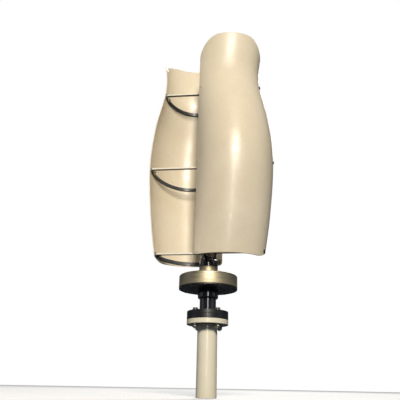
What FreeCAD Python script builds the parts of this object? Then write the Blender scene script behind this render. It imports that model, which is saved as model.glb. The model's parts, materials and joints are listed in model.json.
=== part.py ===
"""Two-blade vertical axis wind turbine on a flanged pole, in millimetres.

+Z is up and the turning axis is Z. The origin is the centre of the pole's lower end.
X runs through the two outer blade tips at rest. The left blade has its tip on -X and
its belly on +Y; the right blade is the left one turned half a turn about Z.
"""
import FreeCAD, Part
import math
import os

import Sketcher

Vector = FreeCAD.Vector
UP = Vector(0, 0, 1)

SIZES = {
    # pole and its flanges
    "pole_dia": 76.0,
    "pole_wall": 4.0,
    "pole_length": 256.0,
    "weld_leg": 5.0,
    "weld_bevel": 2.0,
    "flange_dia": 160.0,
    "pole_flange_thick": 18.0,
    "base_flange_thick": 16.0,
    "neck_flange_thick": 16.0,
    "flange_edge": 1.5,
    "flange_bore": 60.0,
    "flange_bolt_circle": 120.0,
    "flange_bolt_dia": 12.0,
    "flange_hole_dia": 13.5,
    "flange_bolt_count": 4,
    "flange_bolt_head": 7.5,
    "flange_bolt_flats": 19.0,
    "flange_nut_height": 10.0,
    "flange_washer_dia": 24.0,
    "flange_washer_thick": 2.5,
    "thread_proud": 4.0,
    # neck, spindle and stator
    "neck_dia": 64.0,
    "neck_bore": 48.0,
    "neck_height": 49.0,
    "neck_fillet": 3.0,
    "spindle_bore": 14.0,
    "spindle_root_length": 26.0,
    "spindle_shoulder": 5.0,
    "spindle_waist": 4.0,
    "spindle_thread_end": 1.0,
    "stator_seat_height": 20.0,
    "stator_hub_lip": 3.5,
    "stator_hub_rim": 90.0,
    "stator_hub_lip_dia": 114.0,
    "stator_thick": 9.0,
    "stator_dia": 204.0,
    "coil_circle": 156.0,
    "coil_count": 12,
    "coil_dia": 36.0,
    "coil_hole": 14.0,
    "stator_screw_circle": 102.0,
    "stator_screw_count": 6,
    "screw_small": 4.0,
    "stator_screw_head": 8.0,
    "stator_head_height": 2.0,
    # bearings: bore, outside, width
    "low_bore": 40.0,
    "low_outside": 68.0,
    "low_width": 15.0,
    "low_ball": 8.4,
    "low_ball_count": 12,
    "top_bore": 25.0,
    "top_outside": 52.0,
    "top_width": 15.0,
    "top_ball": 8.0,
    "top_ball_count": 9,
    "race_share": 0.31,
    "ball_clearance": 0.3,
    "cage_wall": 2.4,
    "cage_height": 12.0,
    # turning drum
    "collar_dia": 80.0,
    "collar_height": 35.0,
    "collar_lip": 4.0,
    "collar_gap": 2.0,
    "collar_edge": 7.0,
    "round_share": 0.293,
    "seal_dia": 60.0,
    "seal_height": 7.0,
    "running_gap": 1.0,
    "seal_clearance": 0.05,
    "drum_dia": 231.0,
    "drum_height": 53.0,
    "drum_wall": 6.0,
    "drum_top": 7.0,
    "drum_edge": 4.5,
    "cover_thick": 6.0,
    "cover_bore": 60.0,
    "cover_edge": 1.0,
    "cover_screw_count": 12,
    "cover_screw_inset": 3.5,
    "cover_screw_head": 7.2,
    "cover_head_height": 1.6,
    "cover_thread": 8.0,
    "iron_thick": 5.0,
    "iron_inner": 100.0,
    "iron_gap": 3.0,
    "magnet_dia": 32.0,
    "magnet_thick": 6.0,
    "magnet_count": 12,
    # boss, hub and mast
    "boss_dia": 75.0,
    "boss_height": 36.0,
    "boss_lip": 3.0,
    "bearing_step": 4.0,
    "hub_height": 30.0,
    "hub_edge": 4.0,
    "hub_floor": 6.0,
    "hub_screw_circle": 63.0,
    "hub_screw_dia": 6.0,
    "hub_screw_head": 9.6,
    "hub_head_height": 4.0,
    "hub_screw_count": 6,
    "mast_dia": 48.0,
    "mast_wall": 4.0,
    "mast_above_hub": 842.0,
    "mast_cap_thick": 5.0,
    "mast_cap_plug": 12.0,
    "mast_cap_edge": 2.0,
    "fit_clearance": 0.05,
    "lock_nut_dia": 34.0,
    "lock_nut_height": 6.0,
    # frame levels, each measured up from the hub's top
    "bottom_rise": 32.0,
    "middle_rise": 425.0,
    "top_rise": 817.0,
    "sleeve_wall": 8.0,
    "sleeve_above": 12.0,
    "sleeve_below": 3.0,
    "bar_width": 14.0,
    "bar_height": 8.0,
    "bar_offset": 8.0,
    "strut_height": 8.0,
    "rib_thick": 6.0,
    "rib_height": 15.0,
    "rib_clearance": 0.6,
    "bottom_rake": 20.0,
    "middle_rake": 36.0,
    "top_rake": 36.0,
    # blades; their two heights are measured up from the hub's top
    "blade_wall": 4.0,
    "blade_low_rise": 2.0,
    "blade_top_rise": 1050.0,
    "blade_inner_x": 49.0,
    "blade_inner_y": 85.0,
    "blade_low_round": 34.0,
    "blade_low_inner_round": 14.0,
    "blade_outer_round": 60.0,
    "blade_inner_round": 100.0,
    "seat_clearance": 0.3,
    "blade_bolt_dia": 8.0,
    "blade_bolt_hole": 8.8,
    "blade_bolt_head": 16.0,
    "blade_bolt_proud": 2.0,
    "blade_head_height": 5.0,
    "flush_head_height": 1.2,
    "blade_nut_dia": 13.6,
    "blade_nut_height": 6.0,
    "nut_clearance": 0.7,
    "edge_bolt_inset": 30.0,
    "flush_bolt_inset": 14.0,
}

# Blade plan shape by height above the hub's top: outer tip radius and belly depth.
BLADE_STATIONS = [
    # height, tip radius, belly depth
    (-10.0, 223.0, 112.0),
    (190.0, 254.0, 150.0),
    (440.0, 275.0, 182.0),
    (640.0, 261.0, 167.0),
    (820.0, 226.0, 130.0),
    (915.0, 223.0, 128.0),
    (1065.0, 246.0, 143.0),
]

SHEET = "Sizes"


def new_document():
    document = FreeCAD.newDocument("VerticalTurbine")
    sheet = document.addObject("Spreadsheet::Sheet", SHEET)
    for row, (alias, value) in enumerate(SIZES.items(), start=1):
        sheet.set("A%d" % row, alias)
        sheet.set("B%d" % row, str(value))
        sheet.setAlias("B%d" % row, alias)
    for row, (height, radius, depth) in enumerate(BLADE_STATIONS, start=1):
        for column, word, value in (("D", "station_height", height),
                                    ("E", "station_radius", radius),
                                    ("F", "station_depth", depth)):
            sheet.set("%s%d" % (column, row), str(value))
            sheet.setAlias("%s%d" % (column, row), "%s_%d" % (word, row))
    document.recompute()
    return document, sheet


doc, sizes = new_document()
nodes = []


def size(expression):
    """The number that an expression in the sheet's aliases gives."""
    return float(sizes.evalExpression(expression))


def bound(expression):
    """The same expression as another object writes it, with the sheet named."""
    words = []
    word = ""
    for letter in expression + " ":
        if letter.isalnum() or letter == "_":
            word += letter
            continue
        words.append(SHEET + "." + word if word in SIZES else word)
        words.append(letter)
        word = ""
    return "".join(words).strip()


# ---------------------------------------------------------------- heights up the axis
POLE_TOP = "pole_length"
BASE_LOW = POLE_TOP + " + pole_flange_thick"
NECK_LOW = BASE_LOW + " + base_flange_thick"
NECK_FACE = NECK_LOW + " + neck_flange_thick"
NECK_TOP = NECK_FACE + " + neck_height"
COLLAR_LOW = NECK_TOP + " + running_gap"
DRUM_LOW = COLLAR_LOW + " + collar_height"
LOW_BEARING = DRUM_LOW + " - low_width"
CASE_LOW = DRUM_LOW + " + cover_thick"
DRUM_TOP = DRUM_LOW + " + drum_height"
CASE_ROOF = DRUM_TOP + " - drum_top"
STATOR_SEAT = DRUM_LOW + " + stator_seat_height"
STATOR_LOW = STATOR_SEAT + " + stator_hub_lip"
STATOR_TOP = STATOR_LOW + " + stator_thick"
TOP_BEARING = DRUM_TOP + " + bearing_step"
TOP_BEARING_END = TOP_BEARING + " + top_width"
NUT_TOP = TOP_BEARING_END + " + lock_nut_height"
HUB_LOW = DRUM_TOP + " + boss_height"
HUB_TOP = HUB_LOW + " + hub_height"
MAST_LOW = HUB_LOW + " + hub_floor"
MAST_TOP = HUB_TOP + " + mast_above_hub"


# ---------------------------------------------------------------- building helpers
def origin_part(body, role):
    return [part for part in body.Origin.OriginFeatures if part.Role == role][0]


def new_body(label):
    body = doc.addObject("PartDesign::Body", label)
    body.Label = label
    nodes.append(body)
    return body


def new_sketch(body, plane, height=None):
    sketch = body.newObject("Sketcher::SketchObject", body.Label + "_sketch")
    sketch.AttachmentSupport = [(origin_part(body, plane), "")]
    sketch.MapMode = "FlatFace"
    if height is not None:
        sketch.setExpression("AttachmentOffset.Base.z", bound(height))
    return sketch


def outline(sketch, points):
    """Closed outline through points whose coordinates are sheet expressions."""
    places = [(size(across), size(along)) for across, along in points]
    count = len(places)
    for index, (across, along) in enumerate(places):
        next_across, next_along = places[(index + 1) % count]
        start, end = Vector(across, along, 0), Vector(next_across, next_along, 0)
        sketch.addGeometry(Part.LineSegment(start, end))
    for index in range(count):
        sketch.addConstraint(Sketcher.Constraint("Coincident", index, 2, (index + 1) % count, 1))
    for index, expressions in enumerate(points):
        for kind, expression, value in zip(("DistanceX", "DistanceY"), expressions, places[index]):
            name = sketch.addConstraint(Sketcher.Constraint(kind, -1, 1, index, 1, value))
            sketch.setExpression("Constraints[%d]" % name, bound(expression))


def circles(sketch, radii, across="0", along="0"):
    """Concentric circles of the given radii about one point."""
    for radius in radii:
        circle = Part.Circle(Vector(size(across), size(along), 0), UP, size(radius))
        index = sketch.addGeometry(circle)
        for kind, expression in (("DistanceX", across), ("DistanceY", along)):
            name = sketch.addConstraint(Sketcher.Constraint(kind, -1, 1, index, 3, size(expression)))
            sketch.setExpression("Constraints[%d]" % name, bound(expression))
        name = sketch.addConstraint(Sketcher.Constraint("Radius", index, size(radius)))
        sketch.setExpression("Constraints[%d]" % name, bound(radius))


def turned(label, profile, centre=None):
    """A turned piece: a profile of (radius, height) swept round Z, or round an upright
    line at distance `centre` along X."""
    body = new_body(label)
    sketch = new_sketch(body, "XZ_Plane")
    if centre is None:
        outline(sketch, profile)
        reference = "V_Axis"
    else:
        outline(sketch, [("(%s) + (%s)" % (centre, radius), height) for radius, height in profile])
        low = Vector(size(centre), 0, 0)
        line = sketch.addGeometry(Part.LineSegment(low, low + Vector(0, 1, 0)), True)
        sketch.addConstraint(Sketcher.Constraint("Vertical", line))
        for kind, expression in (("DistanceX", centre), ("DistanceY", "0")):
            name = sketch.addConstraint(Sketcher.Constraint(kind, -1, 1, line, 1, size(expression)))
            sketch.setExpression("Constraints[%d]" % name, bound(expression))
        sketch.addConstraint(Sketcher.Constraint("DistanceY", line, 1, line, 2, 1.0))
        reference = "Axis0"
    turn = body.newObject("PartDesign::Revolution", label + "_turn")
    turn.Profile = sketch
    turn.ReferenceAxis = (sketch, [reference])
    turn.Angle = 360
    body.Tip = turn
    doc.recompute()
    return body


def ring(label, inner, outer, low, high):
    return turned(label, [(inner, low), (outer, low), (outer, high), (inner, high)])


def round_table(body, features, count):
    """Repeats features of a body evenly round Z."""
    pattern = body.newObject("PartDesign::PolarPattern", body.Label + "_round")
    pattern.Originals = features
    pattern.Axis = (origin_part(body, "Z_Axis"), [""])
    pattern.Angle = 360
    pattern.Occurrences = int(size(count))
    pattern.setExpression("Occurrences", bound(count))
    body.Tip = pattern
    doc.recompute()
    return pattern


def holes_round(body, circle, radius, low, high, count):
    """Drills a ring of upright holes through a body, between two heights."""
    sketch = new_sketch(body, "XY_Plane", low)
    circles(sketch, [radius], "(%s) / 2" % circle)
    pocket = body.newObject("PartDesign::Pocket", body.Label + "_hole")
    pocket.Profile = sketch
    pocket.Reversed = True
    pocket.setExpression("Length", bound("(%s) - (%s)" % (high, low)))
    before = body.Shape.Volume
    body.Tip = pocket
    doc.recompute()
    assert body.Shape.Volume < before, body.Label + " was not drilled"
    round_table(body, [pocket], count)


def groove_round(body, circle, radius, height):
    """Cuts a round-bottomed ball track with its centre at a height."""
    before = body.Shape.Volume
    sketch = new_sketch(body, "XZ_Plane")
    circles(sketch, [radius], "(%s) / 2" % circle, height)
    groove = body.newObject("PartDesign::Groove", body.Label + "_track")
    groove.Profile = sketch
    groove.ReferenceAxis = (sketch, ["V_Axis"])
    groove.Angle = 360
    body.Tip = groove
    doc.recompute()
    assert body.Shape.Volume < before, body.Label + " has no track"


def solid_feature(label, shape, turn=0):
    """A piece whose shape is worked out from the sheet by Part's functions, turned
    about Z by a number of degrees."""
    feature = doc.addObject("Part::Feature", label)
    feature.Label = label
    feature.Shape = shape
    feature.Placement = FreeCAD.Placement(Vector(), FreeCAD.Rotation(UP, turn))
    nodes.append(feature)
    return feature


def hexagon(body, name, across_flats, distance, low, height):
    prism = body.newObject("PartDesign::AdditivePrism", name)
    prism.Polygon = 6
    prism.setExpression("Circumradius", bound("(%s) / (2 * cos(30 deg))" % across_flats))
    prism.setExpression("Height", bound(height))
    prism.AttachmentSupport = [(origin_part(body, "XY_Plane"), "")]
    prism.MapMode = "FlatFace"
    prism.setExpression("AttachmentOffset.Base.x", bound(distance))
    prism.setExpression("AttachmentOffset.Base.z", bound(low))
    return prism


def quarter_offset(*bodies):
    """Turns pieces so that a ring of four stands between the X and Y axes."""
    for body in bodies:
        body.Placement = FreeCAD.Placement(Vector(), FreeCAD.Rotation(UP, 45))


# ---------------------------------------------------------------- pole and flanges
def flange_disc(label, bore, low, high, turned_edge=True):
    edge = "flange_edge" if turned_edge else "0"
    body = turned(label, [
        ("(%s) / 2" % bore, low), ("flange_dia / 2 - (%s)" % edge, low),
        ("flange_dia / 2", low + " + (%s)" % edge), ("flange_dia / 2", high + " - (%s)" % edge),
        ("flange_dia / 2 - (%s)" % edge, high), ("(%s) / 2" % bore, high)])
    holes_round(body, "flange_bolt_circle", "flange_hole_dia / 2", low, high, "flange_bolt_count")
    quarter_offset(body)
    return body


def build_pole():
    bore, outside = "pole_dia / 2 - pole_wall", "pole_dia / 2"
    bevel, weld_low = "pole_dia / 2 - weld_bevel", POLE_TOP + " - weld_leg"
    turned("pole", [(bore, "0"), (outside, "0"), (outside, weld_low), (bevel, POLE_TOP), (bore, POLE_TOP)])
    turned("pole_weld", [(outside, weld_low), (outside + " + weld_leg", POLE_TOP), (bevel, POLE_TOP)])
    flange_disc("pole_flange", "flange_bore", POLE_TOP, BASE_LOW)
    flange_disc("base_flange", "flange_bore", BASE_LOW, NECK_LOW)


def build_neck():
    body = turned("neck", [
        ("neck_bore / 2", NECK_LOW), ("flange_dia / 2 - flange_edge", NECK_LOW),
        ("flange_dia / 2", NECK_LOW + " + flange_edge"), ("flange_dia / 2", NECK_FACE + " - flange_edge"),
        ("flange_dia / 2 - flange_edge", NECK_FACE), ("neck_dia / 2 + neck_fillet", NECK_FACE),
        ("neck_dia / 2", NECK_FACE + " + neck_fillet"), ("neck_dia / 2", NECK_TOP),
        ("neck_bore / 2", NECK_TOP)])
    holes_round(body, "flange_bolt_circle", "flange_hole_dia / 2", NECK_LOW, NECK_FACE, "flange_bolt_count")
    quarter_offset(body)


def build_flange_fasteners():
    distance = "flange_bolt_circle / 2"
    head_low = NECK_FACE + " + flange_washer_thick"
    nut_low = POLE_TOP + " - flange_washer_thick - flange_nut_height"

    bolts = new_body("flange_bolts")
    head = hexagon(bolts, "bolt_head", "flange_bolt_flats", distance, head_low, "flange_bolt_head")
    shank = bolts.newObject("PartDesign::AdditiveCylinder", "bolt_shank")
    shank.setExpression("Radius", bound("flange_bolt_dia / 2"))
    shank.setExpression("Height", bound("(%s) - (%s) + thread_proud" % (head_low, nut_low)))
    shank.AttachmentSupport = [(origin_part(bolts, "XY_Plane"), "")]
    shank.MapMode = "FlatFace"
    shank.setExpression("AttachmentOffset.Base.x", bound(distance))
    shank.setExpression("AttachmentOffset.Base.z", bound("(%s) - thread_proud" % nut_low))
    doc.recompute()
    round_table(bolts, [head, shank], "flange_bolt_count")

    nuts = new_body("flange_nuts")
    nut = hexagon(nuts, "nut_blank", "flange_bolt_flats", distance, nut_low, "flange_nut_height")
    bore = nuts.newObject("PartDesign::SubtractiveCylinder", "nut_bore")
    bore.setExpression("Radius", bound("flange_bolt_dia / 2 + fit_clearance"))
    bore.setExpression("Height", bound("flange_nut_height"))
    bore.AttachmentSupport = [(origin_part(nuts, "XY_Plane"), "")]
    bore.MapMode = "FlatFace"
    bore.setExpression("AttachmentOffset.Base.x", bound(distance))
    bore.setExpression("AttachmentOffset.Base.z", bound(nut_low))
    doc.recompute()
    round_table(nuts, [nut, bore], "flange_bolt_count")

    washers = new_body("flange_washers")
    rings = []
    for name, low in (("top_washer", NECK_FACE), ("under_washer", POLE_TOP + " - flange_washer_thick")):
        sketch = new_sketch(washers, "XY_Plane", low)
        circles(sketch, ["flange_hole_dia / 2", "flange_washer_dia / 2"], distance)
        washer = washers.newObject("PartDesign::Pad", name)
        washer.Profile = sketch
        washer.setExpression("Length", bound("flange_washer_thick"))
        rings.append(washer)
    doc.recompute()
    round_table(washers, rings, "flange_bolt_count")
    quarter_offset(bolts, nuts, washers)


# ---------------------------------------------------------------- spindle and stator
def build_spindle():
    root = "neck_bore / 2 - fit_clearance"
    low_seat = "low_bore / 2 - fit_clearance"
    top_seat = "top_bore / 2 - fit_clearance"
    shoulder = "low_bore / 2 + spindle_shoulder"
    waist = "top_bore / 2 + spindle_waist"
    thread_end = NUT_TOP + " + spindle_thread_end"
    root_low = NECK_TOP + " - spindle_root_length"
    turned("spindle", [
        ("spindle_bore / 2", root_low), (root, root_low), (root, NECK_TOP), (low_seat, NECK_TOP),
        (low_seat, DRUM_LOW), (shoulder, DRUM_LOW),
        (shoulder, STATOR_SEAT), (low_seat, STATOR_SEAT), (low_seat, STATOR_TOP), (waist, STATOR_TOP),
        (waist, TOP_BEARING), (top_seat, TOP_BEARING), (top_seat, thread_end),
        ("spindle_bore / 2", thread_end)])
    ring("lock_nut", "top_bore / 2 + fit_clearance", "lock_nut_dia / 2", TOP_BEARING_END, NUT_TOP)


def build_stator():
    hub = turned("stator_hub", [
        ("low_bore / 2", STATOR_SEAT), ("stator_hub_lip_dia / 2", STATOR_SEAT),
        ("stator_hub_lip_dia / 2", STATOR_LOW), ("stator_hub_rim / 2", STATOR_LOW),
        ("stator_hub_rim / 2", STATOR_TOP), ("low_bore / 2", STATOR_TOP)])
    disc = ring("stator_disc", "stator_hub_rim / 2 + fit_clearance", "stator_dia / 2", STATOR_LOW, STATOR_TOP)
    screw_hole = "screw_small / 2 + fit_clearance"
    holes_round(disc, "coil_circle", "coil_dia / 2 + fit_clearance", STATOR_LOW, STATOR_TOP, "coil_count")
    holes_round(disc, "stator_screw_circle", screw_hole, STATOR_LOW, STATOR_TOP, "stator_screw_count")
    holes_round(hub, "stator_screw_circle", screw_hole, STATOR_SEAT, STATOR_LOW, "stator_screw_count")
    coils = turned("stator_coils", [
        ("coil_hole / 2", STATOR_LOW), ("coil_dia / 2", STATOR_LOW), ("coil_dia / 2", STATOR_TOP),
        ("coil_hole / 2", STATOR_TOP)], "coil_circle / 2")
    round_table(coils, [coils.Tip], "coil_count")
    head_top = STATOR_TOP + " + stator_head_height"
    screws = turned("stator_screws", [
        ("0", STATOR_SEAT), ("screw_small / 2", STATOR_SEAT), ("screw_small / 2", STATOR_TOP),
        ("stator_screw_head / 2", STATOR_TOP), ("stator_screw_head / 2", head_top), ("0", head_top)],
        "stator_screw_circle / 2")
    round_table(screws, [screws.Tip], "stator_screw_count")


# ---------------------------------------------------------------- bearings
def build_bearing(word, low):
    """Two races, a ring of balls and their cage, at a height."""
    bore, outside, width = word + "_bore", word + "_outside", word + "_width"
    ball, count = word + "_ball", word + "_ball_count"
    wall = "(%s - %s) / 2 * race_share" % (outside, bore)
    circle = "(%s + %s) / 2" % (bore, outside)
    middle = low + " + %s / 2" % width
    track = "%s / 2 + ball_clearance" % ball
    prefix = "lower" if word == "low" else "upper"
    high = low + " + " + width
    inner = ring(prefix + "_inner_race", bore + " / 2", "%s / 2 + %s" % (bore, wall), low, high)
    groove_round(inner, circle, track, middle)
    outer = ring(prefix + "_outer_race", "%s / 2 - %s" % (outside, wall), outside + " / 2 - fit_clearance",
                 low, high)
    groove_round(outer, circle, track, middle)

    balls = new_body(prefix + "_balls")
    sphere = balls.newObject("PartDesign::AdditiveSphere", prefix + "_ball")
    sphere.setExpression("Radius", bound(ball + " / 2"))
    sphere.AttachmentSupport = [(origin_part(balls, "XY_Plane"), "")]
    sphere.MapMode = "FlatFace"
    sphere.setExpression("AttachmentOffset.Base.x", bound("(%s) / 2" % circle))
    sphere.setExpression("AttachmentOffset.Base.z", bound(middle))
    balls.Tip = sphere
    doc.recompute()
    round_table(balls, [sphere], count)

    cage = ring(prefix + "_cage", "(%s - cage_wall) / 2" % circle, "(%s + cage_wall) / 2" % circle,
                middle + " - cage_height / 2", middle + " + cage_height / 2")
    before = cage.Shape.Volume
    sketch = new_sketch(cage, "YZ_Plane")
    circles(sketch, [track], "0", middle)
    pocket = cage.newObject("PartDesign::Pocket", prefix + "_pocket")
    pocket.Profile = sketch
    pocket.Reversed = True
    pocket.setExpression("Length", bound(circle))
    cage.Tip = pocket
    doc.recompute()
    assert cage.Shape.Volume < before, prefix + " cage has no pocket"
    round_table(cage, [pocket], count)


# ---------------------------------------------------------------- turning drum
def build_collar():
    lip = "low_bore / 2 + collar_gap"
    bottom = COLLAR_LOW
    corner = "collar_edge * round_share"
    turned("collar", [
        (lip, bottom), ("collar_dia / 2 - collar_edge", bottom),
        ("collar_dia / 2 - " + corner, bottom + " + " + corner),
        ("collar_dia / 2", bottom + " + collar_edge"), ("collar_dia / 2", DRUM_LOW),
        ("low_outside / 2", DRUM_LOW), ("low_outside / 2", LOW_BEARING), ("seal_dia / 2", LOW_BEARING),
        ("seal_dia / 2", bottom + " + collar_lip"), (lip, bottom + " + collar_lip")])
    seal_low = COLLAR_LOW + " + collar_lip"
    ring("shaft_seal", "low_bore / 2 + seal_clearance", "seal_dia / 2 - fit_clearance",
         seal_low, seal_low + " + seal_height")


def build_drum():
    rim = "drum_dia / 2"
    cover = turned("drum_cover", [
        ("cover_bore / 2", DRUM_LOW), (rim + " - cover_edge", DRUM_LOW), (rim, DRUM_LOW + " + cover_edge"),
        (rim, CASE_LOW), ("cover_bore / 2", CASE_LOW)])
    circle = "drum_dia - 2 * cover_screw_inset"
    tapped = CASE_LOW + " + cover_thread"
    screw_hole = "screw_small / 2 + fit_clearance"
    holes_round(cover, circle, screw_hole, DRUM_LOW, CASE_LOW, "cover_screw_count")

    bore, inside = "top_outside / 2", rim + " - drum_wall"
    corner = " - drum_edge * round_share"
    case = turned("drum_case", [
        (bore, DRUM_TOP), (bore, CASE_ROOF), (inside, CASE_ROOF), (inside, CASE_LOW), (rim, CASE_LOW),
        (rim, DRUM_TOP + " - drum_edge"), (rim + corner, DRUM_TOP + corner),
        (rim + " - drum_edge", DRUM_TOP)])
    holes_round(case, circle, screw_hole, CASE_LOW, tapped, "cover_screw_count")
    hub_thread = "hub_screw_dia / 2 + fit_clearance"
    holes_round(case, "hub_screw_circle", hub_thread, CASE_ROOF, DRUM_TOP, "hub_screw_count")

    head, head_low = "cover_screw_head / 2", DRUM_LOW + " - cover_head_height"
    screws = turned("cover_screws", [
        ("0", head_low), (head, head_low), (head, DRUM_LOW), ("screw_small / 2", DRUM_LOW),
        ("screw_small / 2", tapped), ("0", tapped)], "(%s) / 2" % circle)
    round_table(screws, [screws.Tip], "cover_screw_count")


def build_magnets():
    iron_outer = "drum_dia / 2 - drum_wall - iron_gap"
    ring("lower_back_iron", "iron_inner / 2", iron_outer, CASE_LOW, CASE_LOW + " + iron_thick")
    ring("upper_back_iron", "iron_inner / 2", iron_outer, CASE_ROOF + " - iron_thick", CASE_ROOF)
    for label, low in (("lower_magnets", CASE_LOW + " + iron_thick"),
                       ("upper_magnets", CASE_ROOF + " - iron_thick - magnet_thick")):
        high = low + " + magnet_thick"
        magnets = turned(label, [("0", low), ("magnet_dia / 2", low), ("magnet_dia / 2", high), ("0", high)],
                         "coil_circle / 2")
        round_table(magnets, [magnets.Tip], "magnet_count")


# ---------------------------------------------------------------- boss, hub and mast
def build_hub():
    thread = "hub_screw_dia / 2 + fit_clearance"
    boss = turned("bearing_boss", [
        ("top_outside / 2 - boss_lip", DRUM_TOP), ("boss_dia / 2", DRUM_TOP), ("boss_dia / 2", HUB_LOW),
        ("top_outside / 2", HUB_LOW), ("top_outside / 2", TOP_BEARING),
        ("top_outside / 2 - boss_lip", TOP_BEARING)])
    holes_round(boss, "hub_screw_circle", thread, DRUM_TOP, HUB_LOW, "hub_screw_count")
    corner = " - hub_edge * round_share"
    hub = turned("mast_hub", [
        ("0", HUB_LOW), ("boss_dia / 2", HUB_LOW), ("boss_dia / 2", HUB_TOP + " - hub_edge"),
        ("boss_dia / 2" + corner, HUB_TOP + corner),
        ("boss_dia / 2 - hub_edge", HUB_TOP), ("mast_dia / 2 + fit_clearance", HUB_TOP),
        ("mast_dia / 2 + fit_clearance", MAST_LOW), ("0", MAST_LOW)])
    holes_round(hub, "hub_screw_circle", thread, HUB_LOW, HUB_TOP, "hub_screw_count")
    head_top = HUB_TOP + " + hub_head_height"
    screws = turned("hub_screws", [
        ("0", CASE_ROOF), ("hub_screw_dia / 2", CASE_ROOF), ("hub_screw_dia / 2", HUB_TOP),
        ("hub_screw_head / 2", HUB_TOP), ("hub_screw_head / 2", head_top), ("0", head_top)],
        "hub_screw_circle / 2")
    round_table(screws, [screws.Tip], "hub_screw_count")


def build_mast():
    ring("mast", "mast_dia / 2 - mast_wall", "mast_dia / 2", MAST_LOW, MAST_TOP)
    plug, plug_low = "mast_dia / 2 - mast_wall - fit_clearance", MAST_TOP + " - mast_cap_plug"
    cap_top = MAST_TOP + " + mast_cap_thick"
    turned("mast_cap", [
        ("0", plug_low), (plug, plug_low), (plug, MAST_TOP), ("mast_dia / 2", MAST_TOP),
        ("mast_dia / 2", cap_top + " - mast_cap_edge"), ("mast_dia / 2 - mast_cap_edge", cap_top),
        ("0", cap_top)])


# ---------------------------------------------------------------- blade surface
def smooth_value(stations, height):
    """Value at a height on a smooth curve through (height, value) stations: cubic
    pieces whose slope at each station is that of its two neighbours, and straight on
    past the first and last station."""
    last = len(stations) - 1
    inside = max(stations[0][0], min(stations[last][0], height))
    index = max(0, min(last - 1, sum(1 for place, _ in stations if place <= inside) - 1))

    def slope(at):
        before, after = stations[max(at - 1, 0)], stations[min(at + 1, last)]
        return (after[1] - before[1]) / (after[0] - before[0])

    (low, start), (high, end) = stations[index], stations[index + 1]
    span = high - low
    share = (inside - low) / span
    beyond = (height - inside) * slope(0 if height < inside else last)
    return (start * (1 + 2 * share) * (1 - share) ** 2 + end * share ** 2 * (3 - 2 * share)
            + slope(index) * span * share * (1 - share) ** 2
            - slope(index + 1) * span * share ** 2 * (1 - share) + beyond)


def station_column(word):
    """(height, value) pairs of one column of the blade's stations, read from the sheet."""
    rows = range(1, len(BLADE_STATIONS) + 1)
    return [(size("station_height_%d" % row), size("%s_%d" % (word, row))) for row in rows]


TIP_RADII = station_column("station_radius")
BELLY_DEPTHS = station_column("station_depth")
HUB_TOP_HEIGHT = size(HUB_TOP)
INNER_X, INNER_Y = size("blade_inner_x"), size("blade_inner_y")


def blade_plan(height):
    """Centre distance, half-width, depth and end angle of the blade's elliptical plan."""
    rise = height - HUB_TOP_HEIGHT
    radius = smooth_value(TIP_RADII, rise)
    depth = smooth_value(BELLY_DEPTHS, rise)
    end = math.pi - math.asin(INNER_Y / depth)
    half_width = (radius + INNER_X) / (1 - math.cos(end))
    return radius - half_width, half_width, depth, end


def blade_point(height, share, inset):
    """A point of the left blade, `inset` inside its outer skin: share 0 is the outer
    tip and 1 the inner edge."""
    centre, half_width, depth, end = blade_plan(height)
    angle = share * end
    normal = Vector(depth * math.cos(angle), half_width * math.sin(angle), 0)
    normal.normalize()
    along = centre + half_width * math.cos(angle) - inset * normal.x
    across = depth * math.sin(angle) - inset * normal.y
    return Vector(-along, across, height)


def blade_normal(height, share):
    """Outward direction of the skin, from two short steps along it."""
    step = 0.01
    round_step = blade_point(height, share + step, 0) - blade_point(height, share - step, 0)
    rise = blade_point(height + 1, share, 0) - blade_point(height - 1, share, 0)
    return rise.cross(round_step).normalize()


def skin_wire(points_out, points_in):
    """Closed wire of two smooth curves joined by straight ends."""
    outer, inner = Part.BSplineCurve(), Part.BSplineCurve()
    outer.interpolate(points_out)
    inner.interpolate(points_in)
    edges = [outer.toShape(), Part.makeLine(points_out[-1], points_in[-1]), inner.toShape(),
             Part.makeLine(points_in[0], points_out[0])]
    return Part.Wire(Part.__sortEdges__(edges))


BLADE_SAMPLES = 15
BLADE_SECTIONS = 12


def blade_section(height, outside, inside):
    shares = [index / (BLADE_SAMPLES - 1) for index in range(BLADE_SAMPLES)]
    return skin_wire([blade_point(height, share, outside) for share in shares],
                     [blade_point(height, share, inside) for share in shares])


OUTLINE_SPARE = 100.0


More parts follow.
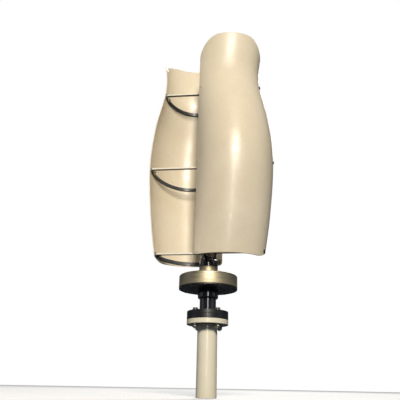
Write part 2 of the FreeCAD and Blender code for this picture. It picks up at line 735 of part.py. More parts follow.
def front_outline():
    """Upright face that trims the blade, seen along Y: level edges at top and bottom,
    with a round at each of the four corners."""
    low, top = HUB_TOP_HEIGHT + size("blade_low_rise"), HUB_TOP_HEIGHT + size("blade_top_rise")
    low_round, low_inner_round, outer_round, inner_round = [
        size("blade_%s_round" % word) for word in ("low", "low_inner", "outer", "inner")]

    def tip(height):
        centre, half_width = blade_plan(height)[:2]
        return -(centre + half_width)

    def at(across, height):
        return Vector(across, 0, height)

    def rounded(side, edge, radius, sideways, upward):
        """Quarter circle from the upright side to the level edge, and its two ends."""
        start = at(side, edge - upward * radius)
        centre = start + at(sideways * radius, 0)
        end = centre + at(0, upward * radius)
        middle = centre + ((start - centre) + (end - centre)).normalize() * radius
        return Part.Arc(start, middle, end).toShape(), start, end

    low_tip, top_tip = tip(low + low_round), tip(top - outer_round)
    corners = [
        rounded(low_tip, low, low_round, 1, -1),
        rounded(INNER_X, low, low_inner_round, -1, -1),
        rounded(INNER_X, top, inner_round, -1, 1),
        rounded(top_tip, top, outer_round, 1, 1),
    ]
    beside = [at(side, 0) for side in (
        low_tip - OUTLINE_SPARE, INNER_X + OUTLINE_SPARE, INNER_X + OUTLINE_SPARE, low_tip - OUTLINE_SPARE)]
    edges = []
    for (arc, start, _), far in zip(corners, beside):
        edges += [arc, Part.makeLine(start, at(far.x, start.z))]
    for first, second in ((0, 1), (2, 3)):
        edges.append(Part.makeLine(corners[first][2], corners[second][2]))
    for first, second in ((1, 2), (3, 0)):
        far = beside[first].x
        edges.append(Part.makeLine(at(far, corners[first][1].z), at(far, corners[second][1].z)))
    return Part.Face(Part.Wire(Part.__sortEdges__(edges)))


def with_half_turn(shapes):
    """A group of separate solids: the given ones and the same turned half round Z."""
    turned_shapes = [shape.copy() for shape in shapes]
    for shape in turned_shapes:
        shape.rotate(Vector(), UP, 180)
    return Part.makeCompound(list(shapes) + turned_shapes)


LEVELS = ("bottom", "middle", "top")
HEIGHT_ROUNDS = 3


def level_height(level):
    return HUB_TOP_HEIGHT + size(level + "_rise")


def rake_slope(level):
    """Fall of the rib for each millimetre of depth behind the chord."""
    return size(level + "_rake") / blade_plan(level_height(level))[2]


def rib_height(level, share):
    """Height of the rib's middle line, which rakes down from the bar to the belly. The
    fall depends on the skin's depth there, so it is worked out in a few rounds."""
    height = level_height(level)
    for _ in range(HEIGHT_ROUNDS):
        height = level_height(level) - rake_slope(level) * blade_point(height, share, 0).y
    return height


def bolt_share(level, from_inner):
    """Share along the blade of the bolt near its outer tip or its inner edge."""
    depth, end = blade_plan(level_height(level))[2:]
    if from_inner:
        return 1 - size("flush_bolt_inset") / (depth * end)
    return math.asin(size("edge_bolt_inset") / depth) / end


def bolt_seats():
    """Place, outward direction and end of each bolt of the left blade: one bolt near
    the outer tip and one near the inner edge at each level, on the rib's middle line."""
    seats = []
    for level in LEVELS:
        for from_inner in (False, True):
            share = bolt_share(level, from_inner)
            height = rib_height(level, share)
            seats.append((blade_point(height, share, 0), blade_normal(height, share), from_inner))
    return seats


HOLE_START = 10.0
HOLE_LENGTH = 24.0


def drilled(shape):
    """The shape with the blade bolts' clearance holes through it."""
    for place, outward, _ in bolt_seats():
        start = place + outward * HOLE_START
        shape = shape.cut(Part.makeCylinder(size("blade_bolt_hole") / 2, HOLE_LENGTH, start, outward * -1))
    return shape.Solids[0]


LOFT_SPARE = 8.0
TRIM_FRONT = -20.0
TRIM_DEPTH = 400.0


def build_blades():
    low = HUB_TOP_HEIGHT + size("blade_low_rise") - LOFT_SPARE
    high = HUB_TOP_HEIGHT + size("blade_top_rise") + LOFT_SPARE
    heights = [low + (high - low) * index / (BLADE_SECTIONS - 1) for index in range(BLADE_SECTIONS)]
    shell = Part.makeLoft([blade_section(height, 0.0, size("blade_wall")) for height in heights], True)
    trim = front_outline()
    trim.translate(Vector(0, TRIM_FRONT, 0))
    blade = drilled(shell.common(trim.extrude(Vector(0, TRIM_DEPTH, 0))))
    solid_feature("left_blade", blade)
    solid_feature("right_blade", blade, 180)


# ---------------------------------------------------------------- frame levels
RIB_START = 0.01
RIB_END = 0.98


def rib_shares():
    return [RIB_START + (RIB_END - RIB_START) * index / (BLADE_SAMPLES - 1) for index in range(BLADE_SAMPLES)]


def rib_insets():
    """Depth below the blade's outer skin of the rib's two faces."""
    near = size("blade_wall + rib_clearance")
    return near, near + size("rib_thick")


def rib_shape(level):
    """Flat strip standing against the blade's inner skin from its tip to its inner edge."""
    rake = rake_slope(level)
    wires = []
    for lift in (-size("rib_height") / 2, size("rib_height") / 2):
        faces = []
        for inset in rib_insets():
            points = [blade_point(rib_height(level, share) + lift, share, inset) for share in rib_shares()]
            for point in points:
                point.z = level_height(level) + lift - rake * point.y
            faces.append(points)
        wires.append(skin_wire(*faces))
    return drilled(Part.makeLoft(wires, True, True))


SPACE_STEP = 20.0
SPACE_STEPS = range(-3, 2)
SPACE_FRONT = -60.0


def inside_space(level):
    """Solid filling the space between the rib and the middle of the rotor, for some way
    above and below the level."""
    inset = rib_insets()[1] + size("seat_clearance")
    wires = []
    for step in SPACE_STEPS:
        height = level_height(level) + SPACE_STEP * step
        points = [blade_point(height, share, inset) for share in rib_shares()]
        curve = Part.BSplineCurve()
        curve.interpolate(points)
        tip, end = points[0], points[-1]
        near, far = Vector(tip.x, SPACE_FRONT, height), Vector(end.x, SPACE_FRONT, height)
        wires.append(Part.Wire([curve.toShape(), Part.makeLine(end, far), Part.makeLine(far, near),
                                Part.makeLine(near, tip)]))
    return Part.makeLoft(wires, True, True)


REACH = 400.0


def build_level(level):
    """Sleeve on the mast, two bars to the outer tips, two struts to the ribs, two ribs."""
    height = level_height(level)
    middle = "%s + %s_rise" % (HUB_TOP, level)
    sleeve_low = "%s - %s_rake - strut_height / 2 - sleeve_below" % (middle, level)
    ring(level + "_sleeve", "mast_dia / 2 + fit_clearance", "mast_dia / 2 + sleeve_wall",
         sleeve_low, middle + " + sleeve_above")

    sleeve_radius = size("mast_dia / 2 + sleeve_wall + fit_clearance")
    keep_out = Part.makeCylinder(sleeve_radius, REACH, Vector(0, 0, height - REACH / 2))
    space = inside_space(level)
    width, offset = size("bar_width"), size("bar_offset")

    tall = size("bar_height")
    bar = Part.makeBox(REACH, width, tall, Vector(-REACH, offset - width / 2, height - tall / 2))
    bar = bar.cut(keep_out).common(space).Solids[0]
    solid_feature(level + "_bar", with_half_turn([bar]))

    strut_middle = height - size(level + "_rake")
    deep = size("strut_height")
    strut = Part.makeBox(width, REACH, deep, Vector(offset - width / 2, 0, strut_middle - deep / 2))
    strut = strut.cut(keep_out).common(space).Solids[0]
    solid_feature(level + "_struts", with_half_turn([strut]))

    rib = rib_shape(level)
    solid_feature("left_%s_rib" % level, rib)
    solid_feature("right_%s_rib" % level, rib, 180)


def bolt_head(place, outward, flat):
    """Low dome, or a thin disc that is painted over, just clear of the skin."""
    radius, height = size("blade_bolt_head") / 2, size("blade_head_height")
    foot = place + outward * size("seat_clearance")
    if flat:
        return Part.makeCylinder(radius, size("flush_head_height"), foot, outward)
    ball_radius = (radius ** 2 + height ** 2) / (2 * height)
    ball = Part.makeSphere(ball_radius, foot - outward * (ball_radius - height))
    return ball.common(Part.makeCylinder(ball_radius, ball_radius, foot, outward))


def build_blade_fasteners():
    radius = size("blade_bolt_dia") / 2
    stack = rib_insets()[1]
    nut_height = size("blade_nut_height")
    shank_length = stack + nut_height + size("blade_bolt_proud")
    bolts = {False: [], True: []}
    nuts = []
    for place, outward, from_inner in bolt_seats():
        top = place + outward * size("seat_clearance")
        shank = Part.makeCylinder(radius, shank_length, top, outward * -1)
        bolts[from_inner].append(shank.fuse(bolt_head(place, outward, from_inner)).removeSplitter())
        seat = place - outward * (stack + size("nut_clearance"))
        nut = Part.makeCylinder(size("blade_nut_dia") / 2, nut_height, seat, outward * -1)
        bore = Part.makeCylinder(radius + size("fit_clearance"), nut_height, seat, outward * -1)
        nuts.append(nut.cut(bore))
    solid_feature("edge_bolts", with_half_turn(bolts[False]))
    solid_feature("flush_bolts", with_half_turn(bolts[True]))
    solid_feature("blade_nuts", with_half_turn(nuts))


# ---------------------------------------------------------------- whole turbine
def build_all():
    build_pole()
    build_neck()
    build_flange_fasteners()
    build_spindle()
    build_stator()
    build_bearing("low", LOW_BEARING)
    build_bearing("top", TOP_BEARING)
    build_collar()
    build_drum()
    build_magnets()
    build_hub()
    build_mast()
    for level in LEVELS:
        build_level(level)
    build_blades()
    build_blade_fasteners()
    doc.recompute()


def check_and_write():
    for item in doc.Objects:
        assert not {"Invalid", "Error"} & set(item.State), item.Name + " failed"
    os.makedirs("parts", exist_ok=True)
    for node in nodes:
        shape = node.Shape
        assert not shape.isNull() and shape.isValid(), node.Label + " has no valid shape"
        shape.exportStep("parts/%s.step" % node.Label)
    print("nodes", len(nodes))


build_all()
check_and_write()
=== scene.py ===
"""Finish, stage and camera of a two-blade vertical axis turbine, in metres.

Every piece that shows is a surface of two parameters, or a profile carried round an axis
or along a path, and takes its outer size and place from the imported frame. The pieces
inside keep the frame's own meshes. +Z is up and the turning axis is Z. The left blade has
its tip on -X and its belly on +Y; the right one is the left one turned half round.
"""
import json
import math

import bmesh
import bpy
import numpy as np
from mathutils import Matrix, Vector


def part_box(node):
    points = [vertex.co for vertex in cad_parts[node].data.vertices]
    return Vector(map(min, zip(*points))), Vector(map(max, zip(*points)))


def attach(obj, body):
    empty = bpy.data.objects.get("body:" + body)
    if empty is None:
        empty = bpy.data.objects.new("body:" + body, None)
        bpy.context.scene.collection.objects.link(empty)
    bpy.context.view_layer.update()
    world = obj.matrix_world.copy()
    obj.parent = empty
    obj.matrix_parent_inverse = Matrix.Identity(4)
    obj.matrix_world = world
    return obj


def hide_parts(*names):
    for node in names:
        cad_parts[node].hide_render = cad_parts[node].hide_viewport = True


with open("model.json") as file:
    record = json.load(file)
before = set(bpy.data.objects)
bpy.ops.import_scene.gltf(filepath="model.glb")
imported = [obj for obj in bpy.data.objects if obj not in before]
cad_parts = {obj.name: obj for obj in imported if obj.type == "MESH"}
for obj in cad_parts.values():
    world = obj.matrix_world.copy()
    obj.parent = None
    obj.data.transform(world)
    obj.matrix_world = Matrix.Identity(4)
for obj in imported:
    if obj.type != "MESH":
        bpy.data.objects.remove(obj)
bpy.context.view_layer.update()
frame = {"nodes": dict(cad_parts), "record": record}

MM = 0.001
TURN = 2 * math.pi
FIT_CLEARANCE = 0.05 * MM
FIXED, ROTOR = "mast_base", "rotor"


def low(node):
    """Lowest corner of a node's box."""
    return np.array(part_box(node)[0])


def high(node):
    """Highest corner of a node's box."""
    return np.array(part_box(node)[1])


# ------------------------------------------------------------------ meshes from arrays
def mesh_piece(name, vertices, faces, body, slot, material, stands_for=()):
    """One piece from whole arrays of corners and faces; doubles are merged, so that
    seams and poles are closed, and the shading is smooth."""
    mesh = bpy.data.meshes.new(name)
    mesh.from_pydata(np.asarray(vertices).tolist(), [], np.asarray(faces).tolist())
    shape = bmesh.new()
    shape.from_mesh(mesh)
    bmesh.ops.remove_doubles(shape, verts=shape.verts, dist=1e-6)
    bmesh.ops.dissolve_degenerate(shape, edges=shape.edges, dist=1e-7)
    bmesh.ops.recalc_face_normals(shape, faces=shape.faces)
    shape.to_mesh(mesh)
    shape.free()
    mesh.polygons.foreach_set("use_smooth", np.ones(len(mesh.polygons), bool))
    piece = bpy.data.objects.new(name, mesh)
    bpy.context.scene.collection.objects.link(piece)
    mesh.materials.append(material)
    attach(piece, body)
    if stands_for:
        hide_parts(*stands_for)
    return piece


def grid_faces(rows, columns, wrap_rows=False, wrap_columns=False):
    """Quads of a grid of points numbered row by row; either way may close on itself."""
    row = np.arange(rows if wrap_rows else rows - 1)[:, None]
    column = np.arange(columns if wrap_columns else columns - 1)[None, :]
    next_row, next_column = (row + 1) % rows, (column + 1) % columns
    quads = np.stack([row * columns + column, row * columns + next_column,
                      next_row * columns + next_column, next_row * columns + column], -1)
    return quads.reshape(-1, 4)


def joined(*parts):
    """Several (vertices, faces) pairs as one."""
    vertices, faces, count = [], [], 0
    for part_vertices, part_faces in parts:
        vertices.append(np.asarray(part_vertices).reshape(-1, 3))
        faces.append(np.asarray(part_faces) + count)
        count += len(vertices[-1])
    return np.concatenate(vertices), np.concatenate(faces)


# ------------------------------------------------------------------ turned pieces
ROUND_STEPS = 4
SUPPORT = 0.35 * MM
# Shares of the shorter side next to a corner: the most its arc and its support may take.
ARC_SHARE, SUPPORT_SHARE = 0.45, 0.2


def rounded_profile(corners):
    """Closed profile in (radius, height) with each corner rounded: a corner of radius r
    becomes an arc that touches both of its sides, at r times the cotangent of half the
    angle from the corner. Each side keeps a point close to both arcs, so that flat
    faces shade flat."""
    places = np.array([corner[:2] for corner in corners], float)
    rounds = [corner[2] if len(corner) > 2 else 0.0 for corner in corners]
    count = len(places)
    points = []
    for index in range(count):
        here = places[index]
        before, after = places[index - 1] - here, places[(index + 1) % count] - here
        room = min(np.linalg.norm(before), np.linalg.norm(after))
        before, after = before / np.linalg.norm(before), after / np.linalg.norm(after)
        half = math.acos(max(-1.0, min(1.0, float(before @ after)))) / 2
        radius = min(rounds[index], ARC_SHARE * room * math.tan(half))
        reach = radius / math.tan(half) if radius > 0 else 0.0
        support = min(SUPPORT, SUPPORT_SHARE * room)
        points.append(here + before * (reach + support))
        if radius > 0:
            centre = here + (before + after) / np.linalg.norm(before + after) * radius / math.sin(half)
            first = here + before * reach - centre
            last = here + after * reach - centre
            sweep = math.pi - 2 * half
            for share in np.linspace(0, 1, ROUND_STEPS + 1):
                from_first = first * math.sin((1 - share) * sweep)
                to_last = last * math.sin(share * sweep)
                points.append(centre + (from_first + to_last) / math.sin(sweep))
        else:
            points.append(here)
        points.append(here + after * (reach + support))
    return np.array(points)


def revolved(profile, segments):
    """Profile carried round the upright axis: x = r cos a, y = r sin a, z = height."""
    angle = np.linspace(0, TURN, segments, endpoint=False)[:, None]
    radius, height = profile[:, 0][None, :], profile[:, 1][None, :]
    points = np.stack([radius * np.cos(angle), radius * np.sin(angle), height + 0 * angle], -1)
    return points.reshape(-1, 3), grid_faces(segments, len(profile), True, True)


def turned(name, corners, body, slot, material, stands_for=(), segments=128):
    """One piece turned from a profile of (radius, height, corner round)."""
    vertices, faces = revolved(rounded_profile(corners), segments)
    return mesh_piece(name, vertices, faces, body, slot, material, stands_for)


def placed(part, place, outward=(0, 0, 1), turn=0.0):
    """A (vertices, faces) pair made about +Z at the origin, turned about Z, tilted so
    that +Z lies along `outward`, and moved to `place`."""
    vertices, faces = part
    tilt = Vector((0, 0, 1)).rotation_difference(Vector(outward)).to_matrix()
    matrix = tilt @ Matrix.Rotation(turn, 3, "Z")
    return vertices @ np.array(matrix).T + np.asarray(place), faces


def half_turned(part):
    """A (vertices, faces) pair turned half round the upright axis."""
    vertices, faces = part
    return vertices * np.array([-1.0, -1.0, 1.0]), faces


# ------------------------------------------------------------------ fasteners
CHAMFER_SHARE = 0.475
THREAD_DEPTH = 0.54
ROWS_PER_PITCH = 8
SOCKET_DEPTH, DOME_FALL = 0.62, 0.82


def hexagon_radius(angle, flats):
    """Distance from the centre to a hexagon's side in the direction of an angle."""
    return flats / 2 / np.cos((angle + math.pi / 6) % (math.pi / 3) - math.pi / 6)


def hex_block(flats, height, hole=0.0, both_ends=False):
    """Hexagonal head or nut: the top is level to the chamfer circle and falls at 30
    degrees past it, so the corners are cut as on a turned hexagon bar."""
    angle = np.linspace(0, TURN, 72, endpoint=False)[None, :]
    corner = hexagon_radius(angle, flats)
    chamfer = CHAMFER_SHARE * flats
    slope = math.tan(math.radians(30))
    share = np.array([0.0, 0.25, 0.5, 0.75, 0.9, 1.0])[:, None]
    reach = np.concatenate([hole + (chamfer - hole) * share + 0 * angle,
                            chamfer + (corner - chamfer) * np.array([0.35, 0.7, 1.0])[:, None]])
    fall = np.maximum(0.0, reach - chamfer) * slope
    bottom_fall = fall[::-1] if both_ends else 0 * fall[::-1]
    radius = np.concatenate([reach, reach[::-1]])
    level = np.concatenate([height - fall, bottom_fall])
    points = np.stack([radius * np.cos(angle), radius * np.sin(angle), level], -1)
    return points.reshape(-1, 3), grid_faces(len(radius), angle.shape[1], hole > 0, True)


def threaded(radius, pitch, start, end):
    """Threaded rod: the radius falls and rises once for each pitch, and once more for
    each turn, so the ridge winds up the rod; both ends taper to a closed disc."""
    rows = max(ROWS_PER_PITCH, int((end - start) / pitch * ROWS_PER_PITCH))
    level = np.linspace(start, end, rows)[:, None]
    angle = np.linspace(0, TURN, 32, endpoint=False)[None, :]
    phase = (level / pitch - angle / TURN) % 1.0
    depth = THREAD_DEPTH * pitch
    ridge = radius - depth * (1 - np.abs(2 * phase - 1))
    ends = np.minimum(1.0, np.minimum(level - start, end - level) / pitch)
    ridge = np.minimum(ridge, radius - depth + depth * ends)
    points = np.stack([ridge * np.cos(angle), ridge * np.sin(angle), level + 0 * angle], -1)
    caps = [np.broadcast_to(np.array([0.0, 0.0, edge]), (1, angle.shape[1], 3)) for edge in (start, end)]
    points = np.concatenate([caps[0], points, caps[1]])
    return points.reshape(-1, 3), grid_faces(len(points), angle.shape[1], False, True)[:, ::-1]


def lathe_bit(corners, segments=40):
    """A small turned part as a (vertices, faces) pair."""
    return revolved(rounded_profile(corners), segments)


def button_head(radius, height, socket):
    """Domed bolt head with a hexagonal key socket: the dome's height falls with the
    square of the distance, and the socket's floor is level."""
    angle = np.linspace(0, TURN, 48, endpoint=False)[None, :]
    key = hexagon_radius(angle, socket)
    depth = SOCKET_DEPTH * height
    inner = np.concatenate([0 * key, 0.6 * key, key, key, 1.06 * key])
    outer_share = np.array([0.3, 0.6, 0.85, 0.96, 1.0])[:, None]
    outer = inner[-1] + (radius - inner[-1]) * outer_share
    reach = np.concatenate([inner, outer, radius + 0 * key, 0 * key])
    dome = height * (1 - DOME_FALL * (reach / radius) ** 2)
    dome[:3] = dome[3] - depth
    dome[-2:] = 0.0
    points = np.stack([reach * np.cos(angle), reach * np.sin(angle), dome], -1)
    return points.reshape(-1, 3), grid_faces(len(reach), angle.shape[1], False, True)


# ------------------------------------------------------------------ blade surface
HUB_TOP = high("mast_hub")[2]
BLADE_WALL = 4.0 * MM
RIB_CLEARANCE = 0.6 * MM
RIB_THICK = 6.0 * MM
RIB_TALL = 15.0 * MM
SEAT_CLEARANCE = 0.3 * MM
INNER_X, INNER_Y = 49.0 * MM, 85.0 * MM
LOW_ROUND, LOW_INNER_ROUND = 34.0 * MM, 14.0 * MM
OUTER_ROUND, INNER_ROUND = 60.0 * MM, 100.0 * MM
RISES = {"bottom": 32.0 * MM, "middle": 425.0 * MM, "top": 817.0 * MM}
RAKES = {"bottom": 20.0 * MM, "middle": 36.0 * MM, "top": 36.0 * MM}
EDGE_BOLT_INSET, FLUSH_BOLT_INSET = 30.0 * MM, 14.0 * MM

# Height above the hub's top, tip radius and belly depth where the blade's form was set.
STATIONS = np.array([
    (-10.0, 223.0, 112.0),
    (190.0, 254.0, 150.0),
    (440.0, 275.0, 182.0),
    (640.0, 261.0, 167.0),
    (820.0, 226.0, 130.0),
    (915.0, 223.0, 128.0),
    (1065.0, 246.0, 143.0),
]) * MM


def through_stations(column, rise):
    """Value on a smooth curve through the stations: cubic pieces whose slope at each
    station is that of the line between its two neighbours."""
    place, value = STATIONS[:, 0], STATIONS[:, column]
    before = np.maximum(np.arange(len(place)) - 1, 0)
    after = np.minimum(np.arange(len(place)) + 1, len(place) - 1)
    slope = (value[after] - value[before]) / (place[after] - place[before])
    index = np.clip(np.searchsorted(place, rise, side="right") - 1, 0, len(place) - 2)
    span = place[index + 1] - place[index]
    share = (rise - place[index]) / span
    return (value[index] * (1 + 2 * share) * (1 - share) ** 2
            + value[index + 1] * share ** 2 * (3 - 2 * share)
            + slope[index] * span * share * (1 - share) ** 2
            - slope[index + 1] * span * share ** 2 * (1 - share))


def blade_plan(height):
    """Centre distance, half-width, depth and end angle of the blade's elliptical plan."""
    rise = np.asarray(height) - HUB_TOP
    radius, depth = through_stations(1, rise), through_stations(2, rise)
    end = math.pi - np.arcsin(INNER_Y / depth)
    half_width = (radius + INNER_X) / (1 - np.cos(end))
    return radius - half_width, half_width, depth, end


def blade_point(height, share, inset):
    """Point of the left blade, `inset` inside its outer skin: share 0 is the outer tip
    and 1 the inner edge of an ellipse, and the inset runs along the ellipse's normal."""
    centre, half_width, depth, end = blade_plan(height)
    angle = share * end
    across, deep = depth * np.cos(angle), half_width * np.sin(angle)
    length = np.hypot(across, deep)
    x = -(centre + half_width * np.cos(angle) - inset * across / length)
    y = depth * np.sin(angle) - inset * deep / length
    return np.stack(np.broadcast_arrays(x, y, height), -1)


def share_speed(height, share):
    """Distance along the skin for each unit of share."""
    step = 0.004
    return np.linalg.norm(blade_point(height, share + step, 0) - blade_point(height, share - step, 0),
                          axis=-1) / (2 * step)


def blade_normal(height, share):
    """Outward direction of the skin: upward step crossed with the step along the skin."""
    step = 0.01
    across = blade_point(height, share + step, 0) - blade_point(height, share - step, 0)
    rise = blade_point(height + MM, share, 0) - blade_point(height - MM, share, 0)
    outward = np.cross(rise, across)
    return outward / np.linalg.norm(outward)


BLADE_LOW, BLADE_HIGH = low("left_blade")[2], high("left_blade")[2]


def side_limit(side, height, low_round, high_round):
    """How far out the blade reaches at a height, seen from the front: the side, less a
    quarter circle at the low and at the high corner."""
    limit = np.full_like(height, side) if np.isscalar(side) else side.copy()
    for edge, radius, sign in ((BLADE_LOW, low_round, -1), (BLADE_HIGH, high_round, 1)):
        past = np.clip((height - (edge - sign * radius)) * sign, 0, radius)
        limit = np.where(past > 0, np.minimum(limit, limit_side(side, edge - sign * radius) - radius
                                              + np.sqrt(radius ** 2 - past ** 2)), limit)
    return limit


def limit_side(side, height):
    """The side's reach at one height."""
    if np.isscalar(side):
        return side
    centre, half_width = blade_plan(height)[:2]
    return centre + half_width


def blade_shell(skin_steps=60, middle_rows=84, edge_steps=4):
    """Closed shell of the left blade: each row is a loop along the outer skin, round the
    inner edge, back along the inner skin and round the tip. The last rows at top and
    bottom thin to nothing on a half circle, so every rim is bull-nosed."""
    half = BLADE_WALL / 2
    quarter = np.linspace(0, math.pi / 2, edge_steps + 1)
    low_start, high_stop = 0.35, 1.37
    low_rows, high_rows = 15, 16
    rim_room = 1.3 * half
    bottom_round = BLADE_LOW + LOW_ROUND * (1 - np.cos(np.linspace(low_start, math.pi / 2, low_rows)))
    top_start = BLADE_HIGH - INNER_ROUND
    top_round = top_start + INNER_ROUND * np.sin(np.linspace(0, high_stop, high_rows))
    middle = np.linspace(bottom_round[-1], top_start, middle_rows + 2)[1:-1]
    body = np.concatenate([bottom_round, middle, top_round])
    body = body[(body > BLADE_LOW + rim_room) & (body < BLADE_HIGH - rim_room)]
    low_cap = BLADE_LOW + half - half * np.sin(quarter[::-1])
    high_cap = BLADE_HIGH - half + half * np.sin(quarter)
    height = np.concatenate([low_cap, body, high_cap])
    thin = np.concatenate([np.cos(quarter[::-1]), np.ones(len(body)), np.cos(quarter)])

    centre, half_width, depth, end = blade_plan(height)
    tip_limit = side_limit(centre + half_width, height, LOW_ROUND, OUTER_ROUND)
    inner_limit = side_limit(INNER_X, height, LOW_INNER_ROUND, INNER_ROUND)
    first = np.arccos(np.clip((tip_limit - centre) / half_width, -1, 1)) / end
    last = np.arccos(np.clip((-inner_limit - centre) / half_width, -1, 1)) / end
    first_nose = half / share_speed(height, first)
    last_nose = half / share_speed(height, last)
    start, stop = first + first_nose, last - last_nose

    support = 0.012
    step = np.concatenate([[0.0, support / 4], np.linspace(support, 1 - support, skin_steps),
                           [1 - support / 4, 1.0]])
    nose = np.linspace(-math.pi / 2, math.pi / 2, 2 * edge_steps + 1)[1:-1]
    skin = start[:, None] + (stop - start)[:, None] * step[None, :]
    shares = np.concatenate([
        skin, stop[:, None] + last_nose[:, None] * np.cos(nose),
        skin[:, ::-1], start[:, None] - first_nose[:, None] * np.cos(nose)], 1)
    across = np.concatenate([-np.ones(len(step)), np.sin(nose), np.ones(len(step)), -np.sin(nose)])
    inset = half + half * across[None, :] * thin[:, None]
    points = blade_point(height[:, None], shares, inset)
    return points.reshape(-1, 3), grid_faces(len(height), points.shape[1], False, True)


# ------------------------------------------------------------------ ribs, bars and struts
SETTLE_ROUNDS = 3


def level_height(level):
    return HUB_TOP + RISES[level]


def rake_slope(level):
    return RAKES[level] / blade_plan(level_height(level))[2]


def rib_height(level, share):
    """The rib falls with depth from the bar to the belly, worked out in a few rounds."""
    height = level_height(level)
    for _ in range(SETTLE_ROUNDS):
        height = level_height(level) - rake_slope(level) * blade_point(height, share, 0)[..., 1]
    return height


def closed_ends(points):
    """Closes a swept tube of loops by drawing each end to its own middle."""
    first = np.broadcast_to(points[:1].mean(1, keepdims=True), points[:1].shape)
    last = np.broadcast_to(points[-1:].mean(1, keepdims=True), points[-1:].shape)
    points = np.concatenate([first, points, last])
    return points.reshape(-1, 3), grid_faces(len(points), points.shape[1], False, True)


RIB_START, RIB_END = 0.01, 0.98
RIB_FACE = BLADE_WALL + RIB_CLEARANCE + RIB_THICK


def rib_part(level):
    """Flat strip along the blade's inner skin: a rounded oblong section, whose width is
    the inset from the skin and whose height is the lift from the raked middle line."""
    near = BLADE_WALL + RIB_CLEARANCE
    tall = RIB_TALL / 2
    corner = 1.2 * MM
    section = rounded_profile([(near, -tall, corner), (RIB_FACE, -tall, corner),
                               (RIB_FACE, tall, corner), (near, tall, corner)])
    share = np.linspace(RIB_START, RIB_END, 90)[:, None]
    inset, lift = section[:, 0][None, :], section[:, 1][None, :]
    points = blade_point(rib_height(level, share) + lift, share, inset)
    points[..., 2] = level_height(level) + lift - rake_slope(level) * points[..., 1]
    return closed_ends(points)


BAR_WIDE, BAR_TALL, BAR_OFFSET = 14.0 * MM, 8.0 * MM, 8.0 * MM
BAR_CORNER = 1.6 * MM
SLEEVE_RADIUS = high("top_sleeve")[0]


def rib_face_at(height, wanted, axis):
    """Place on the rib's inner face whose x or y is the wanted one, by bisection on the
    share, along which both run one way."""
    small, large = np.full_like(wanted, RIB_START), np.full_like(wanted, 0.999)
    for _ in range(30):
        share = (small + large) / 2
        under = blade_point(height, share, RIB_FACE + SEAT_CLEARANCE)[..., axis] < wanted
        small, large = np.where(under, share, small), np.where(under, large, share)
    return blade_point(height, (small + large) / 2, RIB_FACE + SEAT_CLEARANCE)


def spoke(level, is_bar):
    """A bar towards the outer tip or a strut towards the belly: a rounded oblong carried
    in a straight line from the sleeve's round face to the rib's inner face."""
    middle = level_height(level) - (0 if is_bar else RAKES[level])
    near_side, far_side = BAR_OFFSET - BAR_WIDE / 2, BAR_OFFSET + BAR_WIDE / 2
    half_tall = BAR_TALL / 2
    section = rounded_profile([
        (near_side, -half_tall, BAR_CORNER), (far_side, -half_tall, BAR_CORNER),
        (far_side, half_tall, BAR_CORNER), (near_side, half_tall, BAR_CORNER)])
    side, height = section[:, 0], middle + section[:, 1]
    near = np.sqrt((SLEEVE_RADIUS + FIT_CLEARANCE) ** 2 - side ** 2)
    if is_bar:
        far = -rib_face_at(height, side, 1)[..., 0]
    else:
        reach = rib_face_at(height, side, 0)
        far = reach[..., 1]
    share = np.array([0.0, 0.004, 0.5, 0.996, 1.0])[:, None]
    along = near + (far - near) * share
    side, height = side + 0 * along, height + 0 * along
    points = np.stack([-along, side, height] if is_bar else [side, along, height], -1)
    return closed_ends(points)


def weld_ring(radius, height, leg, beads=46, segments=276):
    """Fillet weld under a plate, round an upright tube: a quarter-round bead whose size
    swells once for each run of the torch."""
    angle = np.linspace(0, TURN, segments, endpoint=False)[:, None]
    swell = 0.86 + 0.14 * np.abs(np.sin(angle * beads / 2))
    turn = np.linspace(0, math.pi / 2, 7)[None, :]
    out = radius + leg * swell * np.sin(turn) ** 0.9
    down = height - leg * swell * np.cos(turn) ** 0.9
    out = np.concatenate([out, radius - 0.3 * MM + 0 * angle], 1)
    down = np.concatenate([down, height + 0 * angle], 1)
    points = np.stack([out * np.cos(angle), out * np.sin(angle), down], -1)
    return points.reshape(-1, 3), grid_faces(segments, points.shape[1], True, True)


# ------------------------------------------------------------------ material helpers
def add(tree, kind, inputs=(), **settings):
    """One node with its settings; an input is either a value or a socket to link."""
    node = tree.nodes.new(kind)
    for name, value in settings.items():
        setattr(node, name, value)
    for name, value in dict(inputs).items():
        if isinstance(value, bpy.types.NodeSocket):
            tree.links.new(value, node.inputs[name])
        else:
            node.inputs[name].default_value = value
    return node


def new_group(name, inputs, outputs):
    """Empty effect with named inputs and outputs; each input is (name, kind, value)."""
    tree = bpy.data.node_groups.new(name, "ShaderNodeTree")
    for label, kind, value in inputs:
        socket = tree.interface.new_socket(label, in_out="INPUT", socket_type="NodeSocket" + kind)
        if value is not None:
            socket.default_value = value
    for label, kind in outputs:
        tree.interface.new_socket(label, in_out="OUTPUT", socket_type="NodeSocket" + kind)
    return tree, add(tree, "NodeGroupInput").outputs, add(tree, "NodeGroupOutput").inputs


def maths(tree, operation, first, second=0.0, clamp=False):
    return add(tree, "ShaderNodeMath", {0: first, 1: second}, operation=operation, use_clamp=clamp).outputs[0]


def mixed(tree, factor, first, second):
    node = add(tree, "ShaderNodeMix", {0: factor, 6: first, 7: second}, data_type="RGBA")
    return node.outputs[2]


def spread(tree, value, start, end, low_value=0.0, high_value=1.0):
    node = add(tree, "ShaderNodeMapRange", {0: value, 1: start, 2: end, 3: low_value, 4: high_value})
    return node.outputs[0]


def noise(tree, vector, scale, detail=3.0, rough=0.5):
    node = add(tree, "ShaderNodeTexNoise",
               {"Vector": vector, "Scale": scale, "Detail": detail, "Roughness": rough})
    return node.outputs["Fac"]


def stretched(tree, vector, scale):
    return add(tree, "ShaderNodeMapping", {"Vector": vector, "Scale": scale}).outputs[0]


